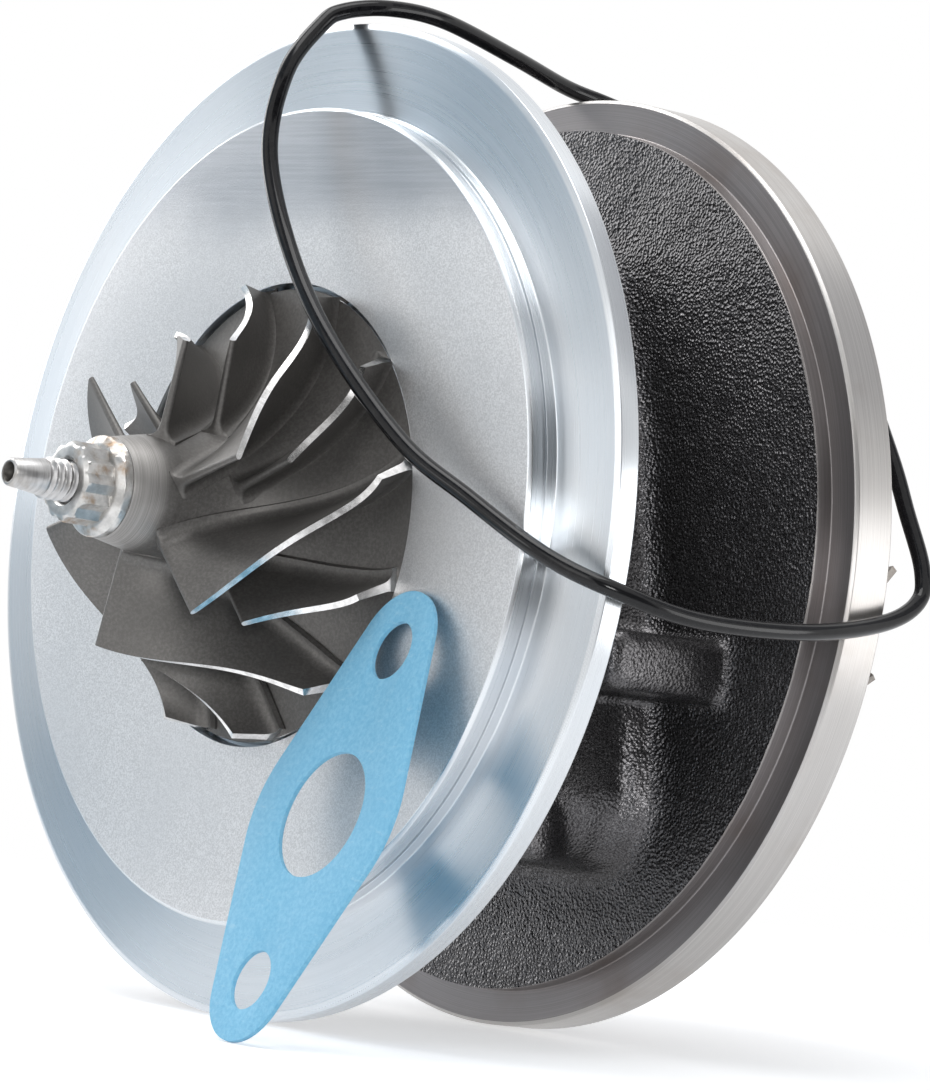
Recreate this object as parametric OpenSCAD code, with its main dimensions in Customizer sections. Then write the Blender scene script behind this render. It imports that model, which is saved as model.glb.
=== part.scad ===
// Turbocharger cartridge: shaft along Y, compressor end towards -Y, oil inlet up, oil drain down.
// The origin is on the shaft's axis, in the backplate's flange face. Millimetres.

/* [Compressor backplate] */
// Diameter of the backplate
plate_d = 150; // [140:1:165]
// Thickness of the backplate's outer rim
plate_rim = 3.9; // [3:0.1:6]
// Diameter of the raised land
land_d = 122.8; // [112:0.2:126]
// Height of the raised land over the flange face
land_h = 4.9; // [3.5:0.1:7]
// Diameter of the pad behind the plate
pad_d = 96; // [94:1:104]
// Height of the pad behind the rim
pad_h = 4.1; // [3:0.1:7]
// Radius of the screw circle that joins the plate to the housing
screw_circle_r = 38; // [36:0.5:40]

/* [Bearing housing] */
// Diameter of the turbine flange
flange_d = 144; // [138:1:156]
// Thickness of the turbine flange's rim
flange_rim = 7.4; // [5:0.1:10]
// Distance from the backplate's face to the turbine flange's face
flange_y = 48; // [46:0.5:56]
// Diameter of the raw cast land on the turbine flange
cast_land_d = 133.2; // [128:0.2:136]
// Height of the raw cast land
cast_land_h = 2.9; // [2:0.1:3.5]
// Diameter of the register behind the turbine flange
register_d = 132; // [124:1:135]
// Height of the register
register_h = 2.6; // [2:0.1:4]
// Diameter of the housing's front flange
front_d = 92; // [90:1:94]
// Thickness of the housing's front flange
front_t = 7; // [5:0.5:8]
// Distance from the shaft down to the drain face
drain_drop = 46; // [44:0.5:52]
// Distance from the shaft up to the oil inlet's face
inlet_rise = 50; // [46:0.5:60]
// Reach of the side lug from the shaft
lug_reach = 51; // [44:0.5:60]
// Height of the side lug
lug_h = 9; // [7:0.5:10]
// Diameter of the oil inlet's tapped hole
inlet_d = 10.2; // [8:0.1:14]

/* [Oil drain] */
// Distance between the drain's two screw holes
drain_spacing = 51.2; // [48:0.2:56]
// Diameter of the drain's bore
drain_d = 19.2; // [16:0.2:21]
// Diameter of the drain's tapped holes
drain_tap_d = 6.8; // [5:0.1:8]
// Thickness of the drain pad
drain_pad_t = 9; // [7:0.5:10]
// Radius of the drain pad and gasket at the screw holes
drain_end_r = 9.3; // [8:0.1:10]
// Radius of the drain pad and gasket at the middle
drain_mid_r = 18.1; // [16:0.1:18.1]
// Thickness of the gasket
gasket_t = 0.7; // [0.5:0.1:1.2]
// Diameter of the gasket's screw holes
gasket_hole_d = 8.9; // [8:0.1:10]
// Angle at which the loose gasket leans on the backplate
gasket_lean = 16.2; // [12:0.1:20]

/* [Compressor wheel] */
// Diameter of the wheel at its outlet
wheel_d = 68.2; // [62:0.2:70]
// Diameter of the wheel at its inlet
inducer_d = 47.2; // [42:0.2:52]
// Length of the blades from the back disc to the inlet
blade_len = 23.8; // [20:0.1:28]
// Width of the blades at the outlet
outlet_w = 6; // [4:0.1:8]
// Thickness of the back disc at its rim
disc_t = 1.6; // [1.4:0.1:2]
// Diameter of the hub at the blades' inlet edges
hub_d = 17.6; // [16:0.2:20]
// Diameter of the hub's nose
nose_d = 15.2; // [14:0.2:16]
// Length of the hub's nose in front of the blades
nose_len = 6.5; // [4:0.1:10]
// Thickness of a blade
blade_t = 0.9; // [0.7:0.1:1.4]
// Number of full blades, with as many splitters
blade_count = 6; // [5:1:7]

/* [Turbine wheel] */
// Diameter of the turbine wheel at its inlet
turbine_d = 63; // [58:0.5:68]
// Diameter of the turbine wheel at its outlet
exducer_d = 56; // [50:0.5:57]
// Length of the turbine wheel
turbine_len = 34.5; // [28:0.5:40]
// Width of the turbine blades at the inlet
turbine_inlet_w = 8; // [6:0.1:10]
// Number of turbine blades
turbine_blades = 10; // [9:1:12]
// Thickness of a turbine blade
turbine_blade_t = 1.1; // [0.8:0.1:1.5]

/* [Shaft and nut] */
// Diameter of the shaft's thread and stub
stub_d = 6.3; // [5:0.1:7]
// Diameter of the bearing journals
journal_d = 11; // [9:0.1:12]
// Diameter of the relief between the journals
relief_d = 10.2; // [8:0.1:10.6]
// Diameter of the seal hub at the turbine end
seal_hub_d = 18; // [16:0.1:20]
// Length of the thread in front of the nut
thread_len = 4.2; // [2:0.1:8]
// Length of the tapered pilot at the shaft's tip
pilot_len = 5.6; // [3:0.1:8]
// Diameter of the pilot's tip
pilot_d = 4.1; // [3.6:0.1:4.6]
// Width of the nut across its flats
nut_af = 10.4; // [9:0.1:12]
// Height of the nut over its flange
nut_h = 4.9; // [3:0.1:7]
// Diameter of the nut's flange
nut_flange_d = 15; // [13:0.1:16]
// Thickness of the nut's flange
nut_flange_t = 2.3; // [1.5:0.1:3]

/* [Bearings and seals] */
// Diameter of the floating bushes
bush_d = 17.4; // [15:0.1:18]
// Length of a floating bush
bush_len = 8; // [6:0.1:9]
// Distance from the compressor bush's front to the turbine bush's rear
bush_span = 27; // [25:0.1:27]
// Diameter of the thrust bearing
thrust_d = 40; // [36:0.5:42]
// Width of the groove in the thrust collar
collar_groove = 3; // [2.5:0.1:3.5]
// Diameter of the thrust collar
collar_d = 21; // [19:0.1:22]
// Diameter of the seal sleeve
sleeve_d = 17; // [15:0.1:18]
// Width of a piston ring
ring_w = 1.5; // [1.2:0.1:1.8]
// Thickness of the heat shield's sheet
shield_t = 0.8; // [0.6:0.1:1]
// Room between the turbine wheel's back disc and the heat shield's wall
shield_room = 6; // [4:0.5:7]
// Outer diameter of the heat shield
shield_d = 78; // [74:1:84]
// Section of the loose cover seal ring
cover_ring_d = 2.5; // [2:0.1:2.8]

/* [Clearances] */
// Radial running clearance of the journals and bushes
running = 0.04; // [0.01:0.01:0.08]
// Radial clearance of a part that is located in a bore
located = 0.03; // [0.01:0.01:0.1]
// Clearance of a screw in its hole
screw_gap = 0.3; // [0.2:0.05:0.5]
// Gap round the compressor wheel in its recess
wheel_gap = 0.7; // [0.5:0.1:1.6]
// Gap behind both wheels
back_gap = 0.6; // [0.4:0.1:1]

/* [Hidden] */
$fn = 96;
// A cut runs past the face it opens by this much
past = 1;

// Radii
plate_r = plate_d / 2;
land_r = land_d / 2;
flange_r = flange_d / 2;
wheel_r = wheel_d / 2;
stub_r = stub_d / 2;
journal_r = journal_d / 2;
sleeve_r = sleeve_d / 2;
collar_r = collar_d / 2;
seal_hub_r = seal_hub_d / 2;
bush_r = bush_d / 2;
shield_r = shield_d / 2;
bore_r = bush_r + running;
thrust_r = thrust_d / 2;

// Compressor wheel and its recess, along the shaft
rim_sink = 0.7;
disc_front = rim_sink - land_h;
disc_back = disc_front + disc_t;
recess_floor = disc_back + back_gap;
recess_r = wheel_r + wheel_gap;
inlet_y = disc_front - blade_len;
nose_y = inlet_y - nose_len;
sleeve_in = 2.5;
sleeve_front = recess_floor + sleeve_in;
front_ring_in = 1.5;
front_ring_y = sleeve_front + front_ring_in;

// Joint of the backplate and the housing, seal sleeve, thrust collar and thrust bearing, along the shaft
joint_y = plate_rim + pad_h;
pocket_depth = 2.5;
pocket_r = 18;
flinger_out = 4;
flinger_r = sleeve_r + flinger_out;
flinger_t = 1.4;
flinger_gap = 0.8;
flinger_front = joint_y - pocket_depth + flinger_gap;
collar_flange_t = 2;
collar_in = 1;
collar_front = joint_y + collar_in;
collar_wall = 3.3;
collar_neck_r = stub_r + collar_wall;
groove_front = collar_front + collar_flange_t;
groove_back = groove_front + collar_groove;
collar_back = groove_back + collar_flange_t;
thrust_front = groove_front + running;
thrust_back = groove_back - running;
collar_room = 0.8;
collar_pocket_r = collar_r + collar_room;
collar_pocket_back = collar_back + collar_room;
pin_r = 1.5;
pin_in = 4;
pin_circle_r = thrust_r - pin_in;
pin_sink = 5;
deflector_t = 0.8;

// Bearing bore, along the shaft
snap_t = 1.2;
snap_depth = 0.9;
snap_gap = 0.4;
snap_room = 0.2;
bush_front = collar_pocket_back + 2 * snap_gap + snap_t + snap_room;
bush_back = bush_front + bush_span;
front_snap_y = bush_front - snap_gap - snap_t;
rear_snap_y = bush_back + snap_gap;
bore_end = 0.6;
bore_back = rear_snap_y + snap_t + bore_end;
spacer_gap = 0.3;

// Turbine end, along the shaft
flange_back = flange_y + flange_rim;
rear_step = 0.6;
rear_face = flange_back + rear_step;
slinger_wall = 2;
slinger_back = flange_back - slinger_wall;
slinger_r = 14;
slinger_hub_r = 8;
boss_r = 16;
boss_h = 5;
boss_back = rear_face + boss_h;
seal_gap = 0.15;
seal_bore_r = seal_hub_r + seal_gap;
turbine_ring_in = 4;
turbine_ring_y = boss_back - turbine_ring_in;
shield_gap = 0.4;
shield_front = boss_back + shield_gap;
shield_hole_gap = 1;
shield_hole_r = seal_hub_r + shield_hole_gap;
turbine_y = shield_front + shield_t + back_gap;
weld_step = 0.2;
weld_y = turbine_y - weld_step;
groove_depth = 1.3;
groove_side = 0.05;
ring_radial = 1.2;

// Housing body: round corners of its outline at the front and at the flange, [x, z, radius]
body_overlap = 3;
body_front = joint_y + front_t - body_overlap;
cast_face = flange_y - cast_land_h;
inlet_depth = 14;
body_top = inlet_rise - inlet_depth;
low_r = 11;
low_z = low_r - drain_drop;
front_corners = [[4, body_top - 4, 9], [8, 12, 14], [18, low_z, low_r]];
rear_corners = [[6, body_top, 10], [10, 14, 16], [27, low_z, low_r]];
foot_flare = 3.5;
port_y = (joint_y + cast_face) / 2;
inlet_wall = 6;
inlet_boss_r = inlet_d / 2 + inlet_wall;
gallery_r = 2.2;
feed_r = 1;
sump_top = -15;
sump_floor = -34;
sump_w = 20;
window_w = 12;
window_len = 8;
window_h = 6;

// Screws of the backplate
screw_r = 3;
screw_angles = [25, 155, 205, 335];
screw_grip = 9;
head_h = 4;
head_r = 5.77;
washer_t = 1.5;
washer_r = 5.2;
screw_seat = joint_y + front_t;

// Joint seal of the backplate
joint_seal_r = 0.9;
joint_seal_circle_r = 27;
joint_seal_squeeze = 0.1;

// Dowel of the turbine housing
dowel_r = 2;
dowel_circle_r = 54;
dowel_angle = 200;
dowel_out = 4;
dowel_in = 6;

// Floor under both rims, and the gasket that leans on the land
floor_slope = (plate_r - flange_r) / (flange_back - plate_rim);
gasket_half = drain_spacing / 2;
gasket_x = 36.95;
gasket_yaw = -4.8;
gasket_roll = 3.6;
gasket_touch = 0.05;
gasket_rise_y = sin(gasket_roll) * sin(gasket_yaw) + cos(gasket_roll) * sin(gasket_lean) * cos(gasket_yaw);
gasket_rise_z = cos(gasket_roll) * cos(gasket_lean);
gasket_facing = cos(gasket_lean) * cos(gasket_yaw);
gasket_reach = gasket_half * gasket_rise_y + drain_end_r * sqrt(1 - pow(gasket_facing, 2))
    + gasket_t / 2 * gasket_facing;
gasket_y = -land_h - gasket_reach - gasket_touch;
foot_y = gasket_y - (gasket_half + drain_end_r) * gasket_rise_y;
foot_z = -(plate_r + floor_slope * (plate_rim - foot_y));
gasket_z = foot_z + gasket_half * gasket_rise_z + drain_end_r * cos(gasket_lean)
    + gasket_t / 2 * sin(gasket_lean) + gasket_touch;

// Blade laws. A blade turns fast at its inlet and slowly at its outlet, t runs from 0 to 1.
function turn(t) = 0.54 * (1 - pow(1 - t, 4)) + 0.46 * t;
function mix(a, b, t) = a + (b - a) * t;
// Quarter ellipse from a, which it leaves along the shaft, to b, which it meets square to the shaft: [r, y]
function sweep(a, b, t) = [mix(a[0], b[0], 1 - cos(90 * t)), mix(a[1], b[1], sin(90 * t))];
function around(ry, angle) = [ry[0] * cos(angle), ry[1], ry[0] * sin(angle)];
function unit(v) = v / norm(v);

// Compressor blade: hub and shroud lines, and their angles
edge_in = 0.15;
root_sink = 1;
hub_start = [hub_d / 2, inlet_y];
hub_end = [wheel_r - edge_in, disc_front];
shroud_start = [inducer_d / 2, inlet_y];
shroud_end = [wheel_r - edge_in, disc_front - outlet_w];
hub_angle = -50.7;
hub_wrap = 66;
shroud_angle = -45.6;
shroud_wrap = 56;
splitter_hub = 0.25;
splitter_shroud = 0.31;
function hub_point(t) = around(sweep(hub_start, hub_end, t), hub_angle + hub_wrap * turn(t));
function shroud_point(t) = around(sweep(shroud_start, shroud_end, t), shroud_angle + shroud_wrap * turn(t));

// Turbine blade: the flow enters at the rim and leaves along the shaft
back_disc_r = 23;
back_disc_t = 2.2;
turbine_inlet_back = turbine_y + 0.6;
turbine_hub_r = 8.5;
turbine_out = weld_y + turbine_len;
turbine_tail = 4;
turbine_tail_r = 6;
turbine_angle = 13;
turbine_wrap = 38;
turbine_root_sink = 1.2;
function turbine_hub(t) = [mix(turbine_hub_r, back_disc_r, 1 - cos(90 * (1 - t))),
                           mix(turbine_out, turbine_y + back_disc_t, sin(90 * (1 - t)))];
function turbine_turn(t) = turbine_angle - turbine_wrap * (1 - t * t);
function turbine_tip(t) = t < 0.25 ? mix([turbine_d / 2, turbine_inlet_back],
                                         [turbine_d / 2, turbine_inlet_back + turbine_inlet_w], t * 4)
    : [mix(turbine_d / 2, exducer_d / 2, sin(120 * (t - 0.25))),
       mix(turbine_inlet_back + turbine_inlet_w, turbine_out, (t - 0.25) / 0.75)];

// Route of the loose cover seal ring: [angle, radius, y]
ring_out = cover_ring_d / 2 + 0.5;
ring_path = [
    [92, plate_r + ring_out, -1], [92.5, plate_r - 1, -4.5], [92.5, land_r + 4.5, -land_h - 5],
    [91, land_r - 8, -land_h - 7.5], [78.5, wheel_r + 5.5, -land_h - 8], [48.5, wheel_r - 0.5, -land_h - 9],
    [16, wheel_r + 7, -land_h - 7], [4.5, land_r - 8, -land_h - 4.5], [-2.5, land_r + 7, -land_h - 1.5],
    [-5, plate_r + ring_out + 1.5, -0.4], [-6.5, plate_r + 6, 13], [-6, flange_r + 7.5, flange_y - 14],
    [-4, flange_r + 3.5, flange_y + 3.5], [-1, flange_r + 1, flange_back + 5],
    [3, flange_r - 0.8, flange_back + 7], [10.5, flange_r - 4.8, flange_back + 7],
    [18.5, flange_r - 7.2, flange_back + 6.5], [35, flange_r - 10, flange_back + 6],
    [53.5, flange_r - 10, flange_back + 6], [73, flange_r - 7, flange_back + 6],
    [86, flange_r - 4, flange_back + 6.2], [94, flange_r - 0.5, flange_back + 5.2],
    [97.5, flange_r + 1.8, flange_back + 1.5], [97.5, flange_r + 2.9, flange_y + 1],
    [94.5, flange_r + 4.6, flange_y - 13], [91, plate_r + 3.6, 17], [90.5, plate_r + 3.4, 6]];
ring_steps = 3;
ring_sides = 8;

// A solid of revolution about the shaft from an outline of [r, y] points
module spin(outline, angle = 360) {
    rotate([-90, 0, 0]) rotate_extrude(angle = angle) polygon(outline);
}

// A ring or disc about the shaft
module ring_y(inner, outer, from, to) {
    spin([[inner, from], [outer, from], [outer, to], [inner, to]]);
}

// A round bar along the shaft's direction, at x and z
module bar_y(x, z, r, from, to) {
    translate([x, from, z]) rotate([-90, 0, 0]) cylinder(r = r, h = to - from);
}

// A slab of a body outline, given by its round corners on both sides
module corners_y(corners, grow, from, to) {
    for (c = corners)
        for (side = [-1, 1])
            bar_y(side * c[0], c[1], c[2] + grow, from, to, $fn = 32);
}

// Plate with two round ends and a round middle, and straight flanks that end just inside the arcs
module diamond(spacing, mid_r, end_r, height) {
    tuck = 0.03;
    half = spacing / 2;
    middle = mid_r - tuck;
    end = end_r - tuck;
    s = (middle - end) / half;
    c = sqrt(1 - s * s);
    right = [[middle * s, middle * c], [half + end * s, end * c],
             [half + end * s, -end * c], [middle * s, -middle * c]];
    left = [for (p = right) -p];
    union() {
        linear_extrude(height) polygon(concat(right, left));
        cylinder(r = mid_r, h = height);
        for (side = [-1, 1])
            translate([side * half, 0, 0]) cylinder(r = end_r, h = height);
    }
}

// A split ring with a small gap, turned so that the gap is up
module split_ring(inner, outer, from, width) {
    gap = 6;
    rotate([0, gap / 2 - 90, 0])
        spin([[inner, from], [outer, from], [outer, from + width], [inner, from + width]], 360 - gap);
}

// A thin blade from a root line and a tip line of as many points
module blade(roots, tips, thickness, sink) {
    last = len(roots) - 1;
    function along(line, i) = line[min(i + 1, last)] - line[max(i - 1, 0)];
    function span(i) = unit(tips[i] - roots[i]);
    function side(line, i) = unit(cross(along(line, i), span(i))) * thickness / 2;
    function foot(i) = roots[i] - span(i) * sink;
    points = [for (i = [0 : last]) each [foot(i) - 1.6 * side(roots, i), foot(i) + 1.6 * side(roots, i),
                                         tips[i] + side(tips, i), tips[i] - side(tips, i)]];
    walls = [for (i = [0 : last - 1]) each [for (k = [0 : 3]) each
        let (a = 4 * i + k, b = 4 * i + (k + 1) % 4) [[a, b, b + 4], [a, b + 4, a + 4]]]];
    e = 4 * last;
    ends = [[2, 1, 0], [3, 2, 0], [e, e + 1, e + 2], [e, e + 2, e + 3]];
    polyhedron(points, concat(walls, ends));
}

// Turned aluminium plate that closes the compressor side
module compressor_backplate() {
    edge = 0.9;
    edge_y = 0.4;
    land_edge = 0.5;
    groove_y = -0.45 * land_h;
    groove_w = 0.9;
    groove_in = 0.5;
    bore = sleeve_r + seal_gap;
    relief_wall = 3;
    relief_slope = 1;
    relief_in = pad_d / 2 + relief_wall;
    relief_out = land_r - relief_wall;
    color([0.80, 0.82, 0.84]) difference() {
        spin([[bore, recess_floor], [recess_r, recess_floor], [recess_r, -land_h],
              [land_r - land_edge, -land_h], [land_r, land_edge - land_h],
              [land_r, groove_y - groove_w / 2], [land_r - groove_in, groove_y - groove_w / 2],
              [land_r - groove_in, groove_y + groove_w / 2], [land_r, groove_y + groove_w / 2],
              [land_r, 0], [plate_r - edge, 0], [plate_r, edge_y],
              [plate_r, plate_rim - edge_y], [plate_r - edge_y, plate_rim],
              [relief_out, plate_rim], [relief_out - relief_slope, 0],
              [relief_in + relief_slope, 0], [relief_in, plate_rim],
              [pad_d / 2, plate_rim], [pad_d / 2, joint_y], [pocket_r, joint_y],
              [pocket_r, joint_y - pocket_depth], [bore, joint_y - pocket_depth]]);
        for (a = screw_angles)
            bar_y(screw_circle_r * cos(a), screw_circle_r * sin(a), screw_r, joint_y - screw_grip - past,
                  joint_y + past);
    }
}

// Outside of the cast housing, before it is bored
module housing_casting() {
    edge = 0.5;
    boss_edge = 2;
    boss_foot = 3;
    register_wall = 4;
    register_slope = 2;
    register_in = register_d / 2 - register_wall;
    // Turbine flange with its raw land, machined rim and rear register
    spin([[0, cast_face], [cast_land_d / 2 - edge, cast_face], [cast_land_d / 2, cast_face + edge],
          [cast_land_d / 2, flange_y], [flange_r - edge, flange_y], [flange_r, flange_y + edge],
          [flange_r, flange_back - edge], [flange_r - edge, flange_back],
          [register_d / 2, flange_back], [register_d / 2, flange_back + register_h],
          [register_in, flange_back + register_h], [register_in - register_slope, rear_face],
          [boss_r + boss_foot, rear_face], [boss_r, rear_face + boss_foot], [boss_r, boss_back - boss_edge],
          [boss_r - boss_edge, boss_back], [0, boss_back]]);
    // Front flange under the backplate
    spin([[0, joint_y], [front_d / 2 - edge, joint_y], [front_d / 2, joint_y + edge],
          [front_d / 2, screw_seat - edge], [front_d / 2 - edge, screw_seat], [0, screw_seat]]);
    // Body between the flanges, and its foot on the turbine flange
    hull() {
        corners_y(front_corners, 0, body_front, body_front + past);
        corners_y(rear_corners, 0, cast_face, cast_face + past);
    }
    hull() {
        corners_y(rear_corners, 0, cast_face - foot_flare, cast_face);
        corners_y(rear_corners, foot_flare, cast_face, cast_face + past);
    }
    side_lug();
    // Drain pad
    translate([0, port_y, -drain_drop]) diamond(drain_spacing, drain_mid_r, drain_end_r, drain_pad_t);
    // Oil inlet boss
    translate([0, port_y, 0]) cylinder(r = inlet_boss_r, h = inlet_rise);
}

// Cast lug on the housing's right side, from the turbine flange forwards
module side_lug() {
    top = -10.5;
    round_r = 3;
    head_room = 2;
    front = screw_seat + head_h + washer_t + head_room;
    hull() {
        for (y = [front + round_r, cast_face + round_r])
            for (z = [top - round_r, top - lug_h + round_r])
                translate([0, y, z]) rotate([0, 90, 0]) cylinder(r = round_r, h = lug_reach, $fn = 32);
    }
}

// Bores, ports and oil ways of the housing
module housing_bores() {
    groove_r = bore_r + snap_depth;
    drain_tap_depth = 15;
    seal_room = joint_seal_r + 0.3;
    gallery_floor = bore_r + 5;
    feed_top = bore_r + 8;
    feed_end = bore_r - 0.5;
    // Thrust pocket, bearing bore with its snap ring grooves, slinger chamber and seal bore
    spin([[0, joint_y - past], [thrust_r + located, joint_y - past], [thrust_r + located, thrust_back],
          [collar_pocket_r, thrust_back], [collar_pocket_r, collar_pocket_back], [bore_r, collar_pocket_back],
          [bore_r, front_snap_y - groove_side], [groove_r, front_snap_y - groove_side],
          [groove_r, front_snap_y + snap_t + groove_side], [bore_r, front_snap_y + snap_t + groove_side],
          [bore_r, rear_snap_y - groove_side], [groove_r, rear_snap_y - groove_side],
          [groove_r, rear_snap_y + snap_t + groove_side], [bore_r, rear_snap_y + snap_t + groove_side],
          [bore_r, bore_back], [slinger_r, bore_back], [slinger_r, slinger_back],
          [seal_bore_r, slinger_back], [seal_bore_r, boss_back + past], [0, boss_back + past]]);
    // Groove of the joint seal
    ring_y(joint_seal_circle_r - seal_room, joint_seal_circle_r + seal_room,
           joint_y - past, joint_y + 2 * joint_seal_r - joint_seal_squeeze);
    // Sump, its openings to the oil chambers, and the drain
    translate([-sump_w / 2, thrust_back - past, sump_floor])
        cube([sump_w, slinger_back - thrust_back, sump_top - sump_floor]);
    translate([-window_w / 2, (bush_front + bush_back - window_len) / 2, sump_top - past])
        cube([window_w, window_len, -sump_top]);
    translate([-window_w / 2, bore_back, sump_top - past])
        cube([window_w, slinger_back - bore_back - past, window_h]);
    translate([0, port_y, -drain_drop - past]) cylinder(d = drain_d, h = drain_drop + sump_floor + 2 * past);
    for (side = [-1, 1])
        translate([side * drain_spacing / 2, port_y, -drain_drop - past])
            cylinder(d = drain_tap_d, h = drain_tap_depth + past);
    // Oil inlet, gallery and feeds to the bushes and the thrust bearing
    translate([0, port_y, inlet_rise - inlet_depth]) cylinder(d = inlet_d, h = inlet_depth + past);
    translate([0, port_y, gallery_floor])
        cylinder(r = gallery_r, h = inlet_rise - inlet_depth + past - gallery_floor);
    for (y = [bush_front + bush_len / 2, bush_back - bush_len / 2, thrust_back + feed_r])
        oil_feed([0, port_y, feed_top], [0, y, feed_end]);
    // Screws, thrust pins and dowel
    for (a = screw_angles)
        bar_y(screw_circle_r * cos(a), screw_circle_r * sin(a), screw_r + screw_gap, joint_y - past,
              screw_seat + past);
    for (side = [-1, 1])
        bar_y(side * pin_circle_r, 0, pin_r + located, thrust_back - past, thrust_back + pin_sink);
    bar_y(dowel_circle_r * cos(dowel_angle), dowel_circle_r * sin(dowel_angle), dowel_r, rear_face - dowel_in,
          rear_face + past);
}

// A drilled oil way between two points in the plane of the shaft
module oil_feed(from, to) {
    d = to - from;
    translate(from) rotate([-atan2(d[1], d[2]), 0, 0]) cylinder(r = feed_r, h = norm(d));
}

// Cast-iron housing with the turbine flange
module bearing_housing() {
    color([0.13, 0.13, 0.13]) difference() {
        housing_casting();
        housing_bores();
    }
}

// Cast compressor wheel with full and splitter blades
module compressor_wheel() {
    steps = 14;
    bore = stub_r + located;
    rear_boss_r = sleeve_r - 0.5;
    line = [for (i = [0 : steps]) sweep(hub_start, [wheel_r, disc_front], i / steps)];
    full = [for (i = [0 : steps]) i / steps];
    color([0.36, 0.35, 0.34]) {
        spin(concat([[bore, nose_y], [nose_d / 2, nose_y]], line,
                    [[wheel_r, disc_back], [rear_boss_r, disc_back], [rear_boss_r, sleeve_front],
                     [bore, sleeve_front]]));
        for (k = [0 : blade_count - 1]) {
            rotate([0, -k * 360 / blade_count, 0])
                blade([for (t = full) hub_point(t)], [for (t = full) shroud_point(t)], blade_t, root_sink);
            rotate([0, -(k + 0.5) * 360 / blade_count, 0])
                blade([for (t = full) hub_point(mix(splitter_hub, 1, t))],
                      [for (t = full) shroud_point(mix(splitter_shroud, 1, t))], blade_t, root_sink);
        }
    }
}

// 12-point nut with a round flange
module shaft_nut() {
    seat = nose_y;
    flange_edge = 0.7;
    neck_out = 0.8;
    neck = nut_af / 2 + neck_out;
    top_edge = 1;
    top_in = 0.4;
    top = seat - nut_flange_t - nut_h;
    color([0.72, 0.72, 0.70]) difference() {
        union() {
            spin([[0, seat], [nut_flange_d / 2, seat], [nut_flange_d / 2, seat - nut_flange_t + flange_edge],
                  [neck, seat - nut_flange_t], [0, seat - nut_flange_t]]);
            intersection() {
                translate([0, seat - nut_flange_t, 0]) rotate([90, 0, 0])
                    for (a = [0, 30]) rotate(a) cylinder(d = nut_af / cos(30), h = nut_h, $fn = 6);
                spin([[0, seat], [neck, seat], [neck, top + top_edge], [nut_af / 2 - top_in, top], [0, top]]);
            }
        }
        bar_y(0, 0, stub_r + located, top - past, seat + past);
    }
}

// Stepped shaft, from its drilled pilot to the seal hub
module rotor_shaft() {
    nut_front = nose_y - nut_flange_t - nut_h;
    thread_front = nut_front - thread_len;
    tip = thread_front - pilot_len;
    drill_r = 1.4;
    drill_depth = 4;
    pilot_edge = 0.3;
    thread_edge = 0.4;
    pilot_back_r = stub_r - thread_edge;
    relief_in = 1;
    relief_edge = 0.5;
    relief_front = bush_front + bush_len + relief_in;
    relief_back = bush_back - bush_len - relief_in;
    slinger_front = bore_back + 0.4;
    slinger_t = 2;
    slinger_slope = 0.6;
    slinger_neck_r = slinger_hub_r - 1.5;
    seal_hub_front = slinger_back - 0.5;
    color([0.70, 0.70, 0.69])
        spin([[0, tip + drill_depth], [drill_r, tip + drill_depth - drill_r], [drill_r, tip],
              [pilot_d / 2 - pilot_edge, tip], [pilot_d / 2, tip + pilot_edge], [pilot_back_r, thread_front],
              [stub_r, thread_front + thread_edge], [stub_r, collar_back], [journal_r, collar_back],
              [journal_r, relief_front], [relief_d / 2, relief_front + relief_edge],
              [relief_d / 2, relief_back - relief_edge], [journal_r, relief_back],
              [journal_r, slinger_front], [slinger_hub_r, slinger_front],
              [slinger_hub_r, slinger_front + slinger_t],
              [slinger_neck_r, slinger_front + slinger_t + slinger_slope], [slinger_neck_r, seal_hub_front],
              [seal_hub_r, seal_hub_front], [seal_hub_r, turbine_ring_y - groove_side],
              [seal_hub_r - groove_depth, turbine_ring_y - groove_side],
              [seal_hub_r - groove_depth, turbine_ring_y + ring_w + groove_side],
              [seal_hub_r, turbine_ring_y + ring_w + groove_side], [seal_hub_r, weld_y], [0, weld_y]]);
}

// Turbine wheel, welded to the shaft's seal hub
module turbine_wheel() {
    steps = 12;
    outer = [for (i = [0 : steps]) turbine_hub(i / steps)];
    t_line = [for (i = [0 : steps]) i / steps];
    color([0.42, 0.39, 0.36]) {
        spin(concat([[0, weld_y], [seal_hub_r, weld_y], [seal_hub_r, turbine_y], [back_disc_r, turbine_y]],
                    outer, [[turbine_tail_r, turbine_out + 1], [0, turbine_out + 1]]));
        translate([0, turbine_out + turbine_tail, 0]) rotate([90, 0, 0])
            cylinder(r = turbine_tail_r, h = turbine_tail, $fn = 6);
        for (k = [0 : turbine_blades - 1])
            rotate([0, -k * 360 / turbine_blades, 0])
                blade([for (t = t_line) around(turbine_hub(t), turbine_turn(t))],
                      [for (t = t_line) around(turbine_tip(t), turbine_turn(t))],
                      turbine_blade_t, turbine_root_sink);
    }
}

// Sleeve with a piston ring groove and an oil flinger
module seal_sleeve() {
    neck_r = sleeve_r - 0.5;
    color([0.62, 0.62, 0.62])
        spin([[stub_r + located, sleeve_front], [sleeve_r, sleeve_front],
              [sleeve_r, front_ring_y - groove_side],
              [sleeve_r - groove_depth, front_ring_y - groove_side],
              [sleeve_r - groove_depth, front_ring_y + ring_w + groove_side],
              [sleeve_r, front_ring_y + ring_w + groove_side], [sleeve_r, flinger_front],
              [flinger_r, flinger_front], [flinger_r, flinger_front + flinger_t],
              [neck_r, flinger_front + flinger_t], [neck_r, collar_front], [stub_r + located, collar_front]]);
}

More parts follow.
